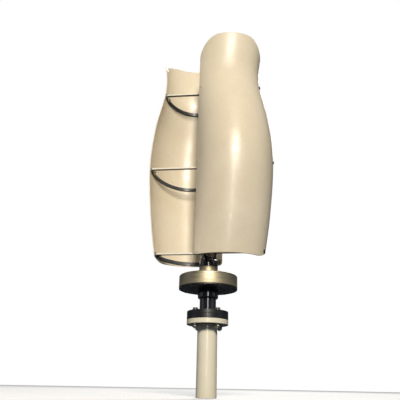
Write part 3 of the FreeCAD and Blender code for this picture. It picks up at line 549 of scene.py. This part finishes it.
def build_mottle():
    """Slow drift between two colours, with a finer drift laid over it."""
    tree, given, out = new_group("colour_drift", [
        ("Place", "Vector", None), ("First", "Color", (1, 1, 1, 1)), ("Second", "Color", (1, 1, 1, 1)),
        ("Scale", "Float", 6.0)], [("Color", "Color")])
    slow = noise(tree, given["Place"], given["Scale"], 2.0)
    fine = noise(tree, given["Place"], maths(tree, "MULTIPLY", given["Scale"], 9.0), 4.0)
    both = maths(tree, "ADD", maths(tree, "MULTIPLY", slow, 0.65), maths(tree, "MULTIPLY", fine, 0.35))
    share = spread(tree, both, 0.35, 0.65)
    tree.links.new(mixed(tree, share, given["First"], given["Second"]), out["Color"])
    return tree


def build_streaks():
    """Rain and dust marks: noise drawn out down the height, kept where it is strong."""
    tree, given, out = new_group("rain_streaks", [
        ("Place", "Vector", None), ("Amount", "Float", 0.5)], [("Mask", "Float")])
    long = noise(tree, stretched(tree, given["Place"], (26.0, 26.0, 1.3)), 1.0, 4.0, 0.6)
    patch = noise(tree, given["Place"], 5.0, 2.0)
    share = maths(tree, "MULTIPLY", spread(tree, long, 0.48, 0.78), spread(tree, patch, 0.35, 0.7))
    tree.links.new(maths(tree, "MULTIPLY", share, given["Amount"]), out["Mask"])
    return tree


def build_turning():
    """Lathe marks: noise of the radius and the height only, so every line runs round."""
    tree, given, out = new_group("lathe_marks", [
        ("Place", "Vector", None), ("Fineness", "Float", 1.0)],
        [("Value", "Float"), ("Broad", "Float"), ("Radius", "Float")])
    parts = add(tree, "ShaderNodeSeparateXYZ", {0: given["Place"]}).outputs
    radius = maths(tree, "SQRT", maths(tree, "ADD", maths(tree, "MULTIPLY", parts[0], parts[0]),
                                       maths(tree, "MULTIPLY", parts[1], parts[1])))
    ring = add(tree, "ShaderNodeCombineXYZ", {0: radius, 1: 0.0, 2: parts[2]}).outputs[0]
    fine = noise(tree, ring, maths(tree, "MULTIPLY", given["Fineness"], 900.0), 3.0, 0.6)
    broad = noise(tree, ring, maths(tree, "MULTIPLY", given["Fineness"], 160.0), 2.0)
    tree.links.new(fine, out["Value"])
    tree.links.new(broad, out["Broad"])
    tree.links.new(radius, out["Radius"])
    return tree


def build_peel():
    """Skin of a sprayed or moulded coat: soft small dimples on a slower swell."""
    tree, given, out = new_group("coat_skin", [
        ("Place", "Vector", None), ("Dimples", "Float", 700.0)], [("Height", "Float")])
    dimples = noise(tree, given["Place"], given["Dimples"], 1.0)
    swell = noise(tree, given["Place"], maths(tree, "MULTIPLY", given["Dimples"], 0.06), 1.0)
    tree.links.new(maths(tree, "ADD", maths(tree, "MULTIPLY", dimples, 0.35), swell), out["Height"])
    return tree


def build_wear():
    """Rubbed edges: where the surface is sharply convex, broken up by noise."""
    tree, given, out = new_group("rubbed_edges", [
        ("Place", "Vector", None), ("Pointiness", "Float", 0.5), ("Amount", "Float", 0.5)],
        [("Mask", "Float")])
    edge = spread(tree, given["Pointiness"], 0.515, 0.56)
    breaks = spread(tree, noise(tree, given["Place"], 220.0, 4.0), 0.42, 0.62)
    mask = maths(tree, "MULTIPLY", maths(tree, "MULTIPLY", edge, breaks), given["Amount"])
    tree.links.new(mask, out["Mask"])
    return tree


EFFECTS = {"drift": build_mottle(), "streaks": build_streaks(), "turning": build_turning(),
           "peel": build_peel(), "wear": build_wear()}


def effect(tree, name, inputs):
    node = add(tree, "ShaderNodeGroup")
    node.node_tree = EFFECTS[name]
    for label, value in inputs.items():
        if isinstance(value, bpy.types.NodeSocket):
            tree.links.new(value, node.inputs[label])
        else:
            node.inputs[label].default_value = value
    return node.outputs


class Finish:
    """A material being put together: its tree, its shader and its Object coordinates."""

    def __init__(self, name, **shader_values):
        self.material = bpy.data.materials.new(name)
        self.material.use_nodes = True
        self.tree = self.material.node_tree
        self.shader = self.tree.nodes["Principled BSDF"]
        self.place = add(self.tree, "ShaderNodeTexCoord").outputs["Object"]
        for label, value in shader_values.items():
            self.shader.inputs[label.replace("_", " ")].default_value = value

    def link(self, socket, label):
        self.tree.links.new(socket, self.shader.inputs[label])

    def bump(self, height, strength, distance):
        node = add(self.tree, "ShaderNodeBump",
                   {"Height": height, "Strength": strength, "Distance": distance})
        self.link(node.outputs[0], "Normal")

    def wear(self, amount):
        point = add(self.tree, "ShaderNodeNewGeometry").outputs["Pointiness"]
        return effect(self.tree, "wear", {"Place": self.place, "Pointiness": point, "Amount": amount})["Mask"]


def painted(name, first, second, rough=0.22, peel=0.12, dust=0.15, dust_colour=(0.55, 0.5, 0.42, 1),
            wear=0.0, under=(0.45, 0.44, 0.42, 1), coat=0.6, dimples=700.0, underside_shade=None, rim=None):
    """Sprayed coat: drifting colour, rain streaks of dust, rubbed edges down to the metal.
    A given underside colour is painted shade: it darkens the faces that look down, for the shade that falls
    under them.
    Past the `rim` radius the coat is thin and shows satin lathe lines."""
    finish = Finish(name, Coat_Weight=coat, Coat_Roughness=0.06, Specular_IOR_Level=0.5)
    tree, place = finish.tree, finish.place
    colour = effect(tree, "drift", {"Place": place, "First": first, "Second": second, "Scale": 7.0})["Color"]
    dirt = effect(tree, "streaks", {"Place": place, "Amount": dust})["Mask"]
    colour = mixed(tree, dirt, colour, dust_colour)
    # Painted shade: faces that look down are darkened, with a ragged edge, to stand in for the shade under
    # them.
    if underside_shade:
        normal = add(tree, "ShaderNodeTexCoord").outputs["Normal"]
        facing = add(tree, "ShaderNodeSeparateXYZ", {0: normal}).outputs[2]
        ragged = maths(tree, "MULTIPLY", noise(tree, place, 160.0, 3.0), 0.25)
        colour = mixed(tree, spread(tree, maths(tree, "ADD", facing, ragged), -0.45, -0.75), colour, underside_shade)
    roughness = spread(tree, noise(tree, place, 30.0, 4.0), 0.3, 0.7, rough * 0.8, rough * 1.25)
    roughness = maths(tree, "ADD", roughness, maths(tree, "MULTIPLY", dirt, 0.5), clamp=True)
    height = effect(tree, "peel", {"Place": place, "Dimples": dimples})["Height"]
    if rim:
        marks = effect(tree, "turning", {"Place": place, "Fineness": 0.8})
        outer = spread(tree, marks["Radius"], rim, rim + MM)
        roughness = maths(tree, "ADD", roughness, maths(tree, "MULTIPLY", outer, 0.24), clamp=True)
        finish.link(maths(tree, "SUBTRACT", coat, maths(tree, "MULTIPLY", outer, 0.8 * coat)), "Coat Weight")
        lines = maths(tree, "MULTIPLY", marks["Value"], 2.0)
        height = maths(tree, "ADD", height, maths(tree, "MULTIPLY", outer, lines))
    if wear:
        rubbed = finish.wear(wear)
        colour = mixed(tree, rubbed, colour, under)
        finish.link(maths(tree, "MULTIPLY", rubbed, 0.9), "Metallic")
    finish.link(colour, "Base Color")
    finish.link(roughness, "Roughness")
    finish.bump(height, peel, 0.0004)
    return finish.material


def machined(name, first, second, rough=0.26, lines=0.35, fineness=1.0, metallic=1.0):
    """Turned metal: colour, roughness and relief all follow the lathe's lines."""
    finish = Finish(name, Metallic=metallic)
    tree, place = finish.tree, finish.place
    marks = effect(tree, "turning", {"Place": place, "Fineness": fineness})
    share = spread(tree, marks["Value"], 0.35, 0.65)
    colour = mixed(tree, share, first, second)
    shade = spread(tree, noise(tree, place, 22.0, 3.0), 0.3, 0.7, 0.86, 1.0)
    tone = add(tree, "ShaderNodeCombineColor", {0: shade, 1: shade, 2: shade}).outputs[0]
    shaded = add(tree, "ShaderNodeMix", {0: 1.0, 6: colour, 7: tone}, data_type="RGBA",
                 blend_type="MULTIPLY")
    finish.link(shaded.outputs[2], "Base Color")
    finish.link(spread(tree, marks["Broad"], 0.3, 0.7, rough * 0.75, rough * 1.3), "Roughness")
    finish.bump(marks["Value"], lines, 0.00012)
    return finish.material


GRAIN_SCALE = 1040.0


def plated(name, first, second, rough=0.3, metallic=1.0, strength=0.15):
    """Plated, ground or cast surface: cloudy colour and roughness over a fine grain."""
    finish = Finish(name, Metallic=metallic)
    tree, place = finish.tree, finish.place
    drift = effect(tree, "drift", {"Place": place, "First": first, "Second": second, "Scale": 40.0})
    finish.link(drift["Color"], "Base Color")
    finish.link(spread(tree, noise(tree, place, 90.0, 4.0), 0.3, 0.7, rough * 0.7, rough * 1.4), "Roughness")
    finish.bump(noise(tree, place, GRAIN_SCALE, 2.0), strength, 0.0002)
    return finish.material


# ------------------------------------------------------------------ finishes
CREAM, CREAM_DARK = (0.81, 0.72, 0.57, 1), (0.76, 0.66, 0.50, 1)
POLE_CREAM, POLE_CREAM_DARK = (0.92, 0.86, 0.70, 1), (0.87, 0.80, 0.63, 1)
FRAME_CREAM = (0.92, 0.89, 0.80, 1)
BLACK, BLACK_SOFT = (0.006, 0.006, 0.008, 1), (0.011, 0.011, 0.014, 1)
DUST = (0.50, 0.45, 0.37, 1)
BARE_STEEL = (0.42, 0.41, 0.40, 1)
# Near-black painted shade for the faces that look down.
UNDERSIDE_SHADE = (0.022, 0.021, 0.019, 1)

gelcoat = painted("gelcoat", CREAM, CREAM_DARK, rough=0.34, peel=0.03, dust=0.03,
                  dust_colour=(0.52, 0.45, 0.34, 1), coat=0.05, dimples=260.0)
# The pole and frame paints darken their undersides with painted shade.
pole_paint = painted("pole_paint", POLE_CREAM, POLE_CREAM_DARK, rough=0.34, peel=0.22, dust=0.22,
                     dust_colour=DUST, wear=0.15, coat=0.25, underside_shade=UNDERSIDE_SHADE)
frame_paint = painted("frame_paint", FRAME_CREAM, POLE_CREAM, rough=0.30, peel=0.25, dust=0.2,
                      dust_colour=DUST, wear=0.3, coat=0.4, underside_shade=UNDERSIDE_SHADE)
black_paint = painted("black_paint", BLACK, BLACK_SOFT, rough=0.16, peel=0.10, dust=0.05,
                      dust_colour=DUST, wear=0.15, under=BARE_STEEL, coat=1.0, rim=50.0 * MM)
dark_steel = painted("dark_steel", (0.035, 0.040, 0.048, 1), (0.055, 0.062, 0.075, 1), rough=0.30, peel=0.3,
                     dust=0.15, dust_colour=DUST, wear=0.8, under=BARE_STEEL, coat=0.5)
black_steel = painted("black_steel", (0.012, 0.012, 0.012, 1), (0.03, 0.03, 0.03, 1), rough=0.38, peel=0.3,
                      dust=0.12, dust_colour=DUST, wear=0.9, under=BARE_STEEL, coat=0.1)
turned_aluminium = machined("turned_aluminium", (0.62, 0.54, 0.38, 1), (0.38, 0.33, 0.22, 1), rough=0.50)
black_anodised = machined("black_anodised", (0.004, 0.004, 0.007, 1), (0.010, 0.010, 0.014, 1), rough=0.5,
                          lines=0.3, metallic=0.0)
zinc_steel = plated("zinc_steel", (0.66, 0.60, 0.42, 1), (0.52, 0.52, 0.50, 1), rough=0.32)
bearing_steel = plated("bearing_steel", (0.60, 0.60, 0.61, 1), (0.50, 0.50, 0.52, 1), rough=0.12,
                       strength=0.03)
nickel_magnet = plated("nickel_magnet", (0.66, 0.64, 0.60, 1), (0.58, 0.57, 0.55, 1), rough=0.18,
                       strength=0.04)
cage_brass = plated("cage_brass", (0.75, 0.56, 0.22, 1), (0.62, 0.44, 0.16, 1), rough=0.28)
copper_wire = machined("copper_wire", (0.72, 0.30, 0.12, 1), (0.42, 0.16, 0.06, 1), rough=0.25, lines=0.8)
seal_rubber = plated("seal_rubber", (0.020, 0.020, 0.020, 1), (0.035, 0.034, 0.033, 1), rough=0.7,
                     metallic=0.0, strength=0.4)
cast_resin = plated("cast_resin", (0.22, 0.06, 0.025, 1), (0.16, 0.04, 0.02, 1), rough=0.2, metallic=0.0,
                    strength=0.05)

FINISHES = dict(
    gelcoat=gelcoat, pole_paint=pole_paint, frame_paint=frame_paint, black_paint=black_paint,
    dark_steel=dark_steel, black_steel=black_steel, turned_aluminium=turned_aluminium,
    black_anodised=black_anodised, zinc_steel=zinc_steel, bearing_steel=bearing_steel,
    nickel_magnet=nickel_magnet, cage_brass=cage_brass, copper_wire=copper_wire,
    seal_rubber=seal_rubber, cast_resin=cast_resin)


def finish_cad_nodes():
    """Every node of the frame takes the finish of its own slot."""
    for entry in frame["record"]["subparts"]:
        slots = frame["nodes"][entry["node"]].material_slots
        for holder in slots:
            holder.material = FINISHES[entry["material_slot"]]


# ------------------------------------------------------------------ pole, flanges and neck
EDGE = 1.5 * MM
BREAK = 0.4 * MM
POLE_WALL = 4.0 * MM
MAST_WALL = 4.0 * MM
FLANGE_BORE = 30.0 * MM


def make_pole():
    radius, foot, top = high("pole")[0], low("pole")[2], high("pole")[2]
    bore = radius - POLE_WALL
    bevel_tall, bevel_deep = 3.0 * MM, 2.0 * MM
    turned("pole_tube", [(bore, foot, BREAK), (radius, foot, BREAK), (radius, top - bevel_tall),
                         (radius - bevel_deep, top), (bore, top)],
           FIXED, "pole_paint", pole_paint, ["pole"])
    leg = high("pole_weld")[2] - low("pole_weld")[2]
    bead = weld_ring(radius, top, leg)
    mesh_piece("pole_weld_bead", *bead, FIXED, "pole_paint", pole_paint, ["pole_weld"])


def flange(name, node, bore, slot, material):
    radius, bottom, top = high(node)[0], low(node)[2], high(node)[2]
    turned(name, [(bore, bottom, BREAK), (radius, bottom, EDGE), (radius, top, EDGE), (bore, top, BREAK)],
           FIXED, slot, material, [node], segments=160)


def make_neck():
    """The column and the flange under it, with the fillet where they meet."""
    radius, bottom, top = high("neck")[0], low("neck")[2], high("neck")[2]
    plate, column, bore = bottom + 16.0 * MM, 32.0 * MM, 24.0 * MM
    turned("neck_column", [(bore, bottom, BREAK), (radius, bottom, EDGE), (radius, plate, EDGE),
                           (column, plate, 3.0 * MM), (column, top, 1.0 * MM), (bore, top, BREAK)],
           FIXED, "black_paint", black_paint, ["neck"], segments=160)


FLANGE_BOLTS, BOLT_CIRCLE, BOLT_RADIUS = 4, 60.0 * MM, 6.0 * MM
THREAD_PITCH = 1.75 * MM
HEX_FLATS = 19.0 * MM


def round_places(count, radius, start=0.0):
    angle = start + TURN * np.arange(count) / count
    return [(float(a), np.array([radius * math.cos(a), radius * math.sin(a), 0.0])) for a in angle]


def make_flange_fasteners():
    """Four bolts through the three plates: a head and a washer above, a washer, a nut and
    the bolt's proud end below. Each head stops at a turn of its own."""
    top, foot = high("flange_bolts")[2], low("flange_bolts")[2]
    washer_top, washer_foot = high("flange_washers")[2], low("flange_washers")[2]
    nut_top, nut_foot = high("flange_nuts")[2], low("flange_nuts")[2]
    thick = 2.5 * MM
    bolts, washers, nuts = [], [], []
    for index, (angle, place) in enumerate(round_places(FLANGE_BOLTS, BOLT_CIRCLE, math.pi / 4)):
        turn = 0.35 + 0.9 * index
        bolts.append(placed(hex_block(HEX_FLATS, top - washer_top), place + (0, 0, washer_top), turn=turn))
        shank = lathe_bit([(0, nut_foot), (BOLT_RADIUS, nut_foot), (BOLT_RADIUS, washer_top),
                           (0, washer_top)])
        bolts.append(placed(shank, place))
        bolts.append(placed(threaded(BOLT_RADIUS, THREAD_PITCH, foot, nut_foot + 2 * MM), place))
        for level in (washer_top - thick, washer_foot):
            ring = [(BOLT_RADIUS + 0.3 * MM, 0, 0.2 * MM), (2 * BOLT_RADIUS, 0, 0.3 * MM),
                    (2 * BOLT_RADIUS, thick, 0.3 * MM), (BOLT_RADIUS + 0.3 * MM, thick, 0.2 * MM)]
            washers.append(placed(lathe_bit(ring, 64), place + (0, 0, level)))
        nuts.append(placed(hex_block(HEX_FLATS, nut_top - nut_foot, BOLT_RADIUS - 0.2 * MM, True),
                           place + (0, 0, nut_foot), turn=turn + 0.5))
    for name, parts in (("bolts", bolts), ("washers", washers), ("nuts", nuts)):
        mesh_piece("flange_%s_zinc" % name, *joined(*parts), FIXED, "zinc_steel", zinc_steel,
                   ["flange_" + name])


# ------------------------------------------------------------------ drum, boss, hub and mast
def make_drum():
    radius, bottom, top = high("drum_case")[0], low("drum_case")[2], high("drum_case")[2]
    wall, roof, bore = 6.0 * MM, 7.0 * MM, 26.0 * MM
    turned("drum_shell", [(bore, top, BREAK), (radius, top, 4.5 * MM), (radius, bottom, 0.8 * MM),
                          (radius - wall, bottom, BREAK), (radius - wall, top - roof, 1.0 * MM),
                          (bore, top - roof)],
           ROTOR, "turned_aluminium", turned_aluminium, ["drum_case"], segments=192)
    radius, bottom, top = high("drum_cover")[0], low("drum_cover")[2], high("drum_cover")[2]
    opening = 30.0 * MM
    turned("drum_cover_plate", [(opening, bottom, BREAK), (radius, bottom, 1.0 * MM),
                                (radius, top, 0.5 * MM), (opening, top, BREAK)],
           ROTOR, "black_anodised", black_anodised, ["drum_cover"], segments=192)


def make_collar():
    """Housing of the lower bearing, seated round the race and closed by a lip below."""
    radius, bottom, top = high("collar")[0], low("collar")[2], high("collar")[2]
    seat = high("lower_outer_race")[0]
    floor = low("lower_outer_race")[2]
    lip = high("shaft_seal")[0]
    turned("collar_housing", [(lip, bottom, BREAK), (radius, bottom, 7.0 * MM), (radius, top, BREAK),
                              (seat, top), (seat, floor), (lip, floor)],
           ROTOR, "black_paint", black_paint, ["collar"])


def make_boss_and_hub():
    radius, bottom, top = high("bearing_boss")[0], low("bearing_boss")[2], high("bearing_boss")[2]
    seat, floor = high("upper_outer_race")[0], low("upper_outer_race")[2]
    lip = seat - 3.0 * MM
    turned("upper_boss", [(lip, bottom), (radius, bottom, BREAK), (radius, top, 0.8 * MM),
                          (seat, top), (seat, floor), (lip, floor)],
           ROTOR, "turned_aluminium", turned_aluminium, ["bearing_boss"])
    radius, bottom, top = high("mast_hub")[0], low("mast_hub")[2], high("mast_hub")[2]
    mast, floor = high("mast")[0] + FIT_CLEARANCE, low("mast")[2]
    edge = 4.0 * MM
    turned("hub_block", [(0, bottom), (radius, bottom, 0.6 * MM), (radius, top - edge, 0.8 * MM),
                         (radius - edge, top, 0.8 * MM), (mast, top, BREAK), (mast, floor), (0, floor)],
           ROTOR, "black_paint", black_paint, ["mast_hub"])


def make_mast():
    radius, bottom, top = high("mast")[0], low("mast")[2], high("mast")[2]
    bore = radius - MAST_WALL
    turned("mast_tube", [(bore, bottom), (radius, bottom), (radius, top, BREAK), (bore, top, BREAK)],
           ROTOR, "black_paint", black_paint, ["mast"], segments=96)
    cap, plug = high("mast_cap")[2], low("mast_cap")[2]
    fit = bore - 0.1 * MM
    turned("mast_top_cap", [(0, plug), (fit, plug, BREAK), (fit, top), (radius, top, BREAK),
                            (radius, cap, 2.0 * MM), (0, cap)],
           ROTOR, "black_steel", black_steel, ["mast_cap"], segments=96)


def socket_screws(name, node, count, circle, head_radius, head_height, shank_radius, key, level,
                  points_up):
    """Ring of small button-head screws; the head's seat is at `level`."""
    outward = (0, 0, 1) if points_up else (0, 0, -1)
    head = button_head(head_radius, head_height, key)
    far = low(node)[2] if points_up else high(node)[2]
    length = abs(level - far)
    shank = lathe_bit([(0, 0), (shank_radius, 0), (shank_radius, length, 0.3 * MM), (0, length)], 24)
    parts = []
    for angle, place in round_places(count, circle):
        parts.append(placed(head, place + (0, 0, level), outward, turn=2.1 * angle))
        parts.append(placed(shank, place + (0, 0, level), [-part for part in outward]))
    mesh_piece(name, *joined(*parts), ROTOR, "zinc_steel", zinc_steel, [node])


def make_drum_screws():
    """Twelve screws up into the drum's rim, and six down through the hub."""
    socket_screws("drum_cover_screws", "cover_screws", count=12, circle=112.0 * MM,
                  head_radius=3.6 * MM, head_height=1.6 * MM, shank_radius=1.9 * MM, key=2.5 * MM,
                  level=low("drum_cover")[2], points_up=False)
    socket_screws("hub_ring_screws", "hub_screws", count=6, circle=31.5 * MM,
                  head_radius=4.8 * MM, head_height=4.0 * MM, shank_radius=3.0 * MM, key=4.0 * MM,
                  level=high("mast_hub")[2], points_up=True)


# ------------------------------------------------------------------ blades and their frame
def make_blades():
    left = blade_shell()
    mesh_piece("left_blade_skin", *left, ROTOR, "gelcoat", gelcoat, ["left_blade"])
    mesh_piece("right_blade_skin", *half_turned(left), ROTOR, "gelcoat", gelcoat, ["right_blade"])


def make_levels():
    for level in RISES:
        rib = rib_part(level)
        for side, part in (("left", rib), ("right", half_turned(rib))):
            mesh_piece("%s_%s_rib_strip" % (side, level), *part, ROTOR, "dark_steel", dark_steel,
                       ["%s_%s_rib" % (side, level)])
        for word, is_bar in (("bar", True), ("struts", False)):
            arm = spoke(level, is_bar)
            mesh_piece("%s_%s_pair" % (level, word), *joined(arm, half_turned(arm)), ROTOR, "frame_paint",
                       frame_paint, ["%s_%s" % (level, word)])
        node = level + "_sleeve"
        radius, bottom, top = high(node)[0], low(node)[2], high(node)[2]
        inner = high("mast")[0] + FIT_CLEARANCE
        edge = 1.2 * MM
        turned(level + "_sleeve_tube", [(inner, bottom, BREAK), (radius, bottom, edge),
                                        (radius, top, edge), (inner, top, BREAK)],
               ROTOR, "black_paint", black_paint, [node], segments=96)


def bolt_seats():
    """Place and outward direction of each blade bolt of the left blade: near the outer
    tip the seat is square to the belly's depth, near the inner edge it follows the arc."""
    for level in RISES:
        for flat in (False, True):
            height = level_height(level)
            for _ in range(SETTLE_ROUNDS):
                depth, end = blade_plan(height)[2:]
                if flat:
                    share = 1 - FLUSH_BOLT_INSET / (depth * end)
                else:
                    share = math.asin(EDGE_BOLT_INSET / depth) / end
                place = blade_point(height, share, 0)
                height = level_height(level) - rake_slope(level) * place[1]
            yield flat, blade_point(height, share, 0), blade_normal(height, share)


def make_blade_fasteners():
    """Domed heads outside the tips, flush discs by the inner edges, and nuts inside."""
    domes, discs, nuts = [], [], []
    head, thin, tall = 8.0 * MM, 1.2 * MM, 5.0 * MM
    nut_seat, nut_tall, rod_lead = RIB_FACE + 0.7 * MM, 6.0 * MM, 2.0 * MM
    radius, pitch, length = 4.0 * MM, 1.25 * MM, 12.0 * MM
    key, flats, nut_hole = 5.0 * MM, 11.8 * MM, 3.9 * MM
    turn_per_metre = 40
    for flat, place, outward in bolt_seats():
        seat = place + outward * SEAT_CLEARANCE
        rod = threaded(radius, pitch, 0, length)
        shank = placed(rod, place - outward * (nut_seat - rod_lead), -outward)
        if flat:
            disc = lathe_bit([(0, 0), (head, 0, 0.2 * MM), (head, thin, 0.7 * MM), (0, thin)], 64)
            discs += [placed(disc, seat, outward), shank]
        else:
            domes += [placed(button_head(head, tall, key), seat, outward), shank]
        nut = hex_block(flats, nut_tall, nut_hole, True)
        nut_place = place - outward * (nut_seat + nut_tall)
        nuts.append(placed(nut, nut_place, outward, turn=place[2] * turn_per_metre))
    for name, parts, slot, material, node in (
            ("edge_bolt_domes", domes, "black_steel", black_steel, "edge_bolts"),
            ("flush_bolt_discs", discs, "gelcoat", gelcoat, "flush_bolts"),
            ("blade_nut_hexes", nuts, "zinc_steel", zinc_steel, "blade_nuts")):
        whole = joined(*parts)
        mesh_piece(name, *joined(whole, half_turned(whole)), ROTOR, slot, material, [node])


finish_cad_nodes()
make_pole()
flange("pole_flange_plate", "pole_flange", FLANGE_BORE, "pole_paint", pole_paint)
flange("base_flange_plate", "base_flange", FLANGE_BORE, "black_paint", black_paint)
make_neck()
make_flange_fasteners()
make_drum()
make_collar()
make_boss_and_hub()
make_mast()
make_drum_screws()
make_blades()
make_levels()
make_blade_fasteners()


# ------------------------------------------------------------------ floor, light and camera
def make_floor():
    """Pale round floor just under the pole's cut end. It glows a little, so that it stays
    pale where the key only grazes it, and throws no light back on the turbine."""
    part = lathe_bit([(0, -0.012), (9.0, -0.012, 0.002), (9.0, -0.001, 0.002), (0, -0.001)], 96)
    mesh = bpy.data.meshes.new("floor")
    mesh.from_pydata(part[0].tolist(), [], part[1].tolist())
    floor = bpy.data.objects.new("floor", mesh)
    bpy.context.scene.collection.objects.link(floor)
    finish = Finish("floor_paper", Roughness=0.9, Emission_Strength=0.42)
    shade = effect(finish.tree, "drift", {"Place": finish.place, "First": (0.74, 0.74, 0.74, 1),
                                          "Second": (0.71, 0.71, 0.71, 1), "Scale": 0.7})["Color"]
    finish.link(shade, "Base Color")
    finish.link(shade, "Emission Color")
    mesh.materials.append(finish.material)
    floor.visible_diffuse = floor.visible_glossy = False


LIT_HEIGHT = 0.85
WARM, COOL, NEUTRAL = (1.0, 0.93, 0.80), (0.80, 0.88, 1.0), (1.0, 0.98, 0.94)


def area_light(name, around, height, distance, power, size, tint):
    """Soft box that faces the turbine: `around` is its angle right of straight in front,
    and `size` its width and height."""
    lamp = bpy.data.lights.new(name, "AREA")
    lamp.shape = "RECTANGLE"
    lamp.energy, lamp.color = power, tint
    lamp.size, lamp.size_y = size
    thing = bpy.data.objects.new(name, lamp)
    bpy.context.scene.collection.objects.link(thing)
    place = Vector((distance * math.sin(around), -distance * math.cos(around), height))
    thing.location = place
    thing.rotation_euler = (Vector((0, 0, LIT_HEIGHT)) - place).to_track_quat("-Z", "Y").to_euler()
    return thing


def make_lights():
    """Warm key over the viewer's shoulder, a tall narrow box beside the viewer that draws
    the upright highlights, weak cool fills and a strong one behind, in a room that shows
    white to the viewer and lights the turbine with a dim blue."""
    area_light("key", around=math.radians(11), height=3.7, distance=6.2, power=470,
               size=(1.3, 1.3), tint=WARM)
    strip = area_light("strip", around=math.radians(7), height=1.15, distance=3.4, power=27,
                       size=(0.42, 2.1), tint=NEUTRAL)
    strip.visible_diffuse = False
    area_light("left_fill", around=math.radians(-72), height=1.6, distance=3.8, power=5,
               size=(2.2, 2.2), tint=COOL)
    area_light("right_fill", around=math.radians(75), height=1.5, distance=3.8, power=5,
               size=(2.2, 2.2), tint=COOL)
    area_light("back_fill", around=math.radians(178), height=4.4, distance=4.0, power=190,
               size=(2.4, 2.4), tint=NEUTRAL)
    world = bpy.data.worlds.new("room")
    world.use_nodes = True
    bpy.context.scene.world = world
    tree = world.node_tree
    tree.nodes.clear()
    seen = add(tree, "ShaderNodeBackground", {"Color": (1, 1, 1, 1), "Strength": 1.0})
    lit = add(tree, "ShaderNodeBackground", {"Color": (0.70, 0.78, 0.90, 1), "Strength": 0.10})
    path = add(tree, "ShaderNodeLightPath")
    both = add(tree, "ShaderNodeMixShader",
               {0: path.outputs["Is Camera Ray"], 1: lit.outputs[0], 2: seen.outputs[0]})
    out = add(tree, "ShaderNodeOutputWorld")
    tree.links.new(both.outputs[0], out.inputs[0])


def make_camera():
    """Low and close in front, tilted up, with a slight lean, so that the pole's foot and
    the floor's edge sit low in the view and the blades narrow upwards."""
    distance, height = 1.7804, 0.0383
    around, tilt, lean = 0.114, 0.393, 0.019
    lens = bpy.data.cameras.new("viewer")
    lens.lens, lens.sensor_width, lens.shift_x = 40.51, 36.0, -0.0245
    lens.clip_start, lens.clip_end = 0.05, 100.0
    camera = bpy.data.objects.new("viewer", lens)
    bpy.context.scene.collection.objects.link(camera)
    ahead = Vector((-math.sin(around) * math.cos(tilt), math.cos(around) * math.cos(tilt), math.sin(tilt)))
    right = Vector((math.cos(around), math.sin(around), 0))
    up = right.cross(ahead)
    leaning_right = right * math.cos(lean) + up * math.sin(lean)
    leaning_up = up * math.cos(lean) - right * math.sin(lean)
    turn = Matrix((leaning_right, leaning_up, -ahead)).transposed().to_4x4()
    place = Vector((distance * math.sin(around), -distance * math.cos(around), height))
    camera.matrix_world = Matrix.Translation(place) @ turn
    bpy.context.scene.camera = camera


make_floor()
make_lights()
make_camera()
bpy.context.scene.view_settings.view_transform = "Standard"
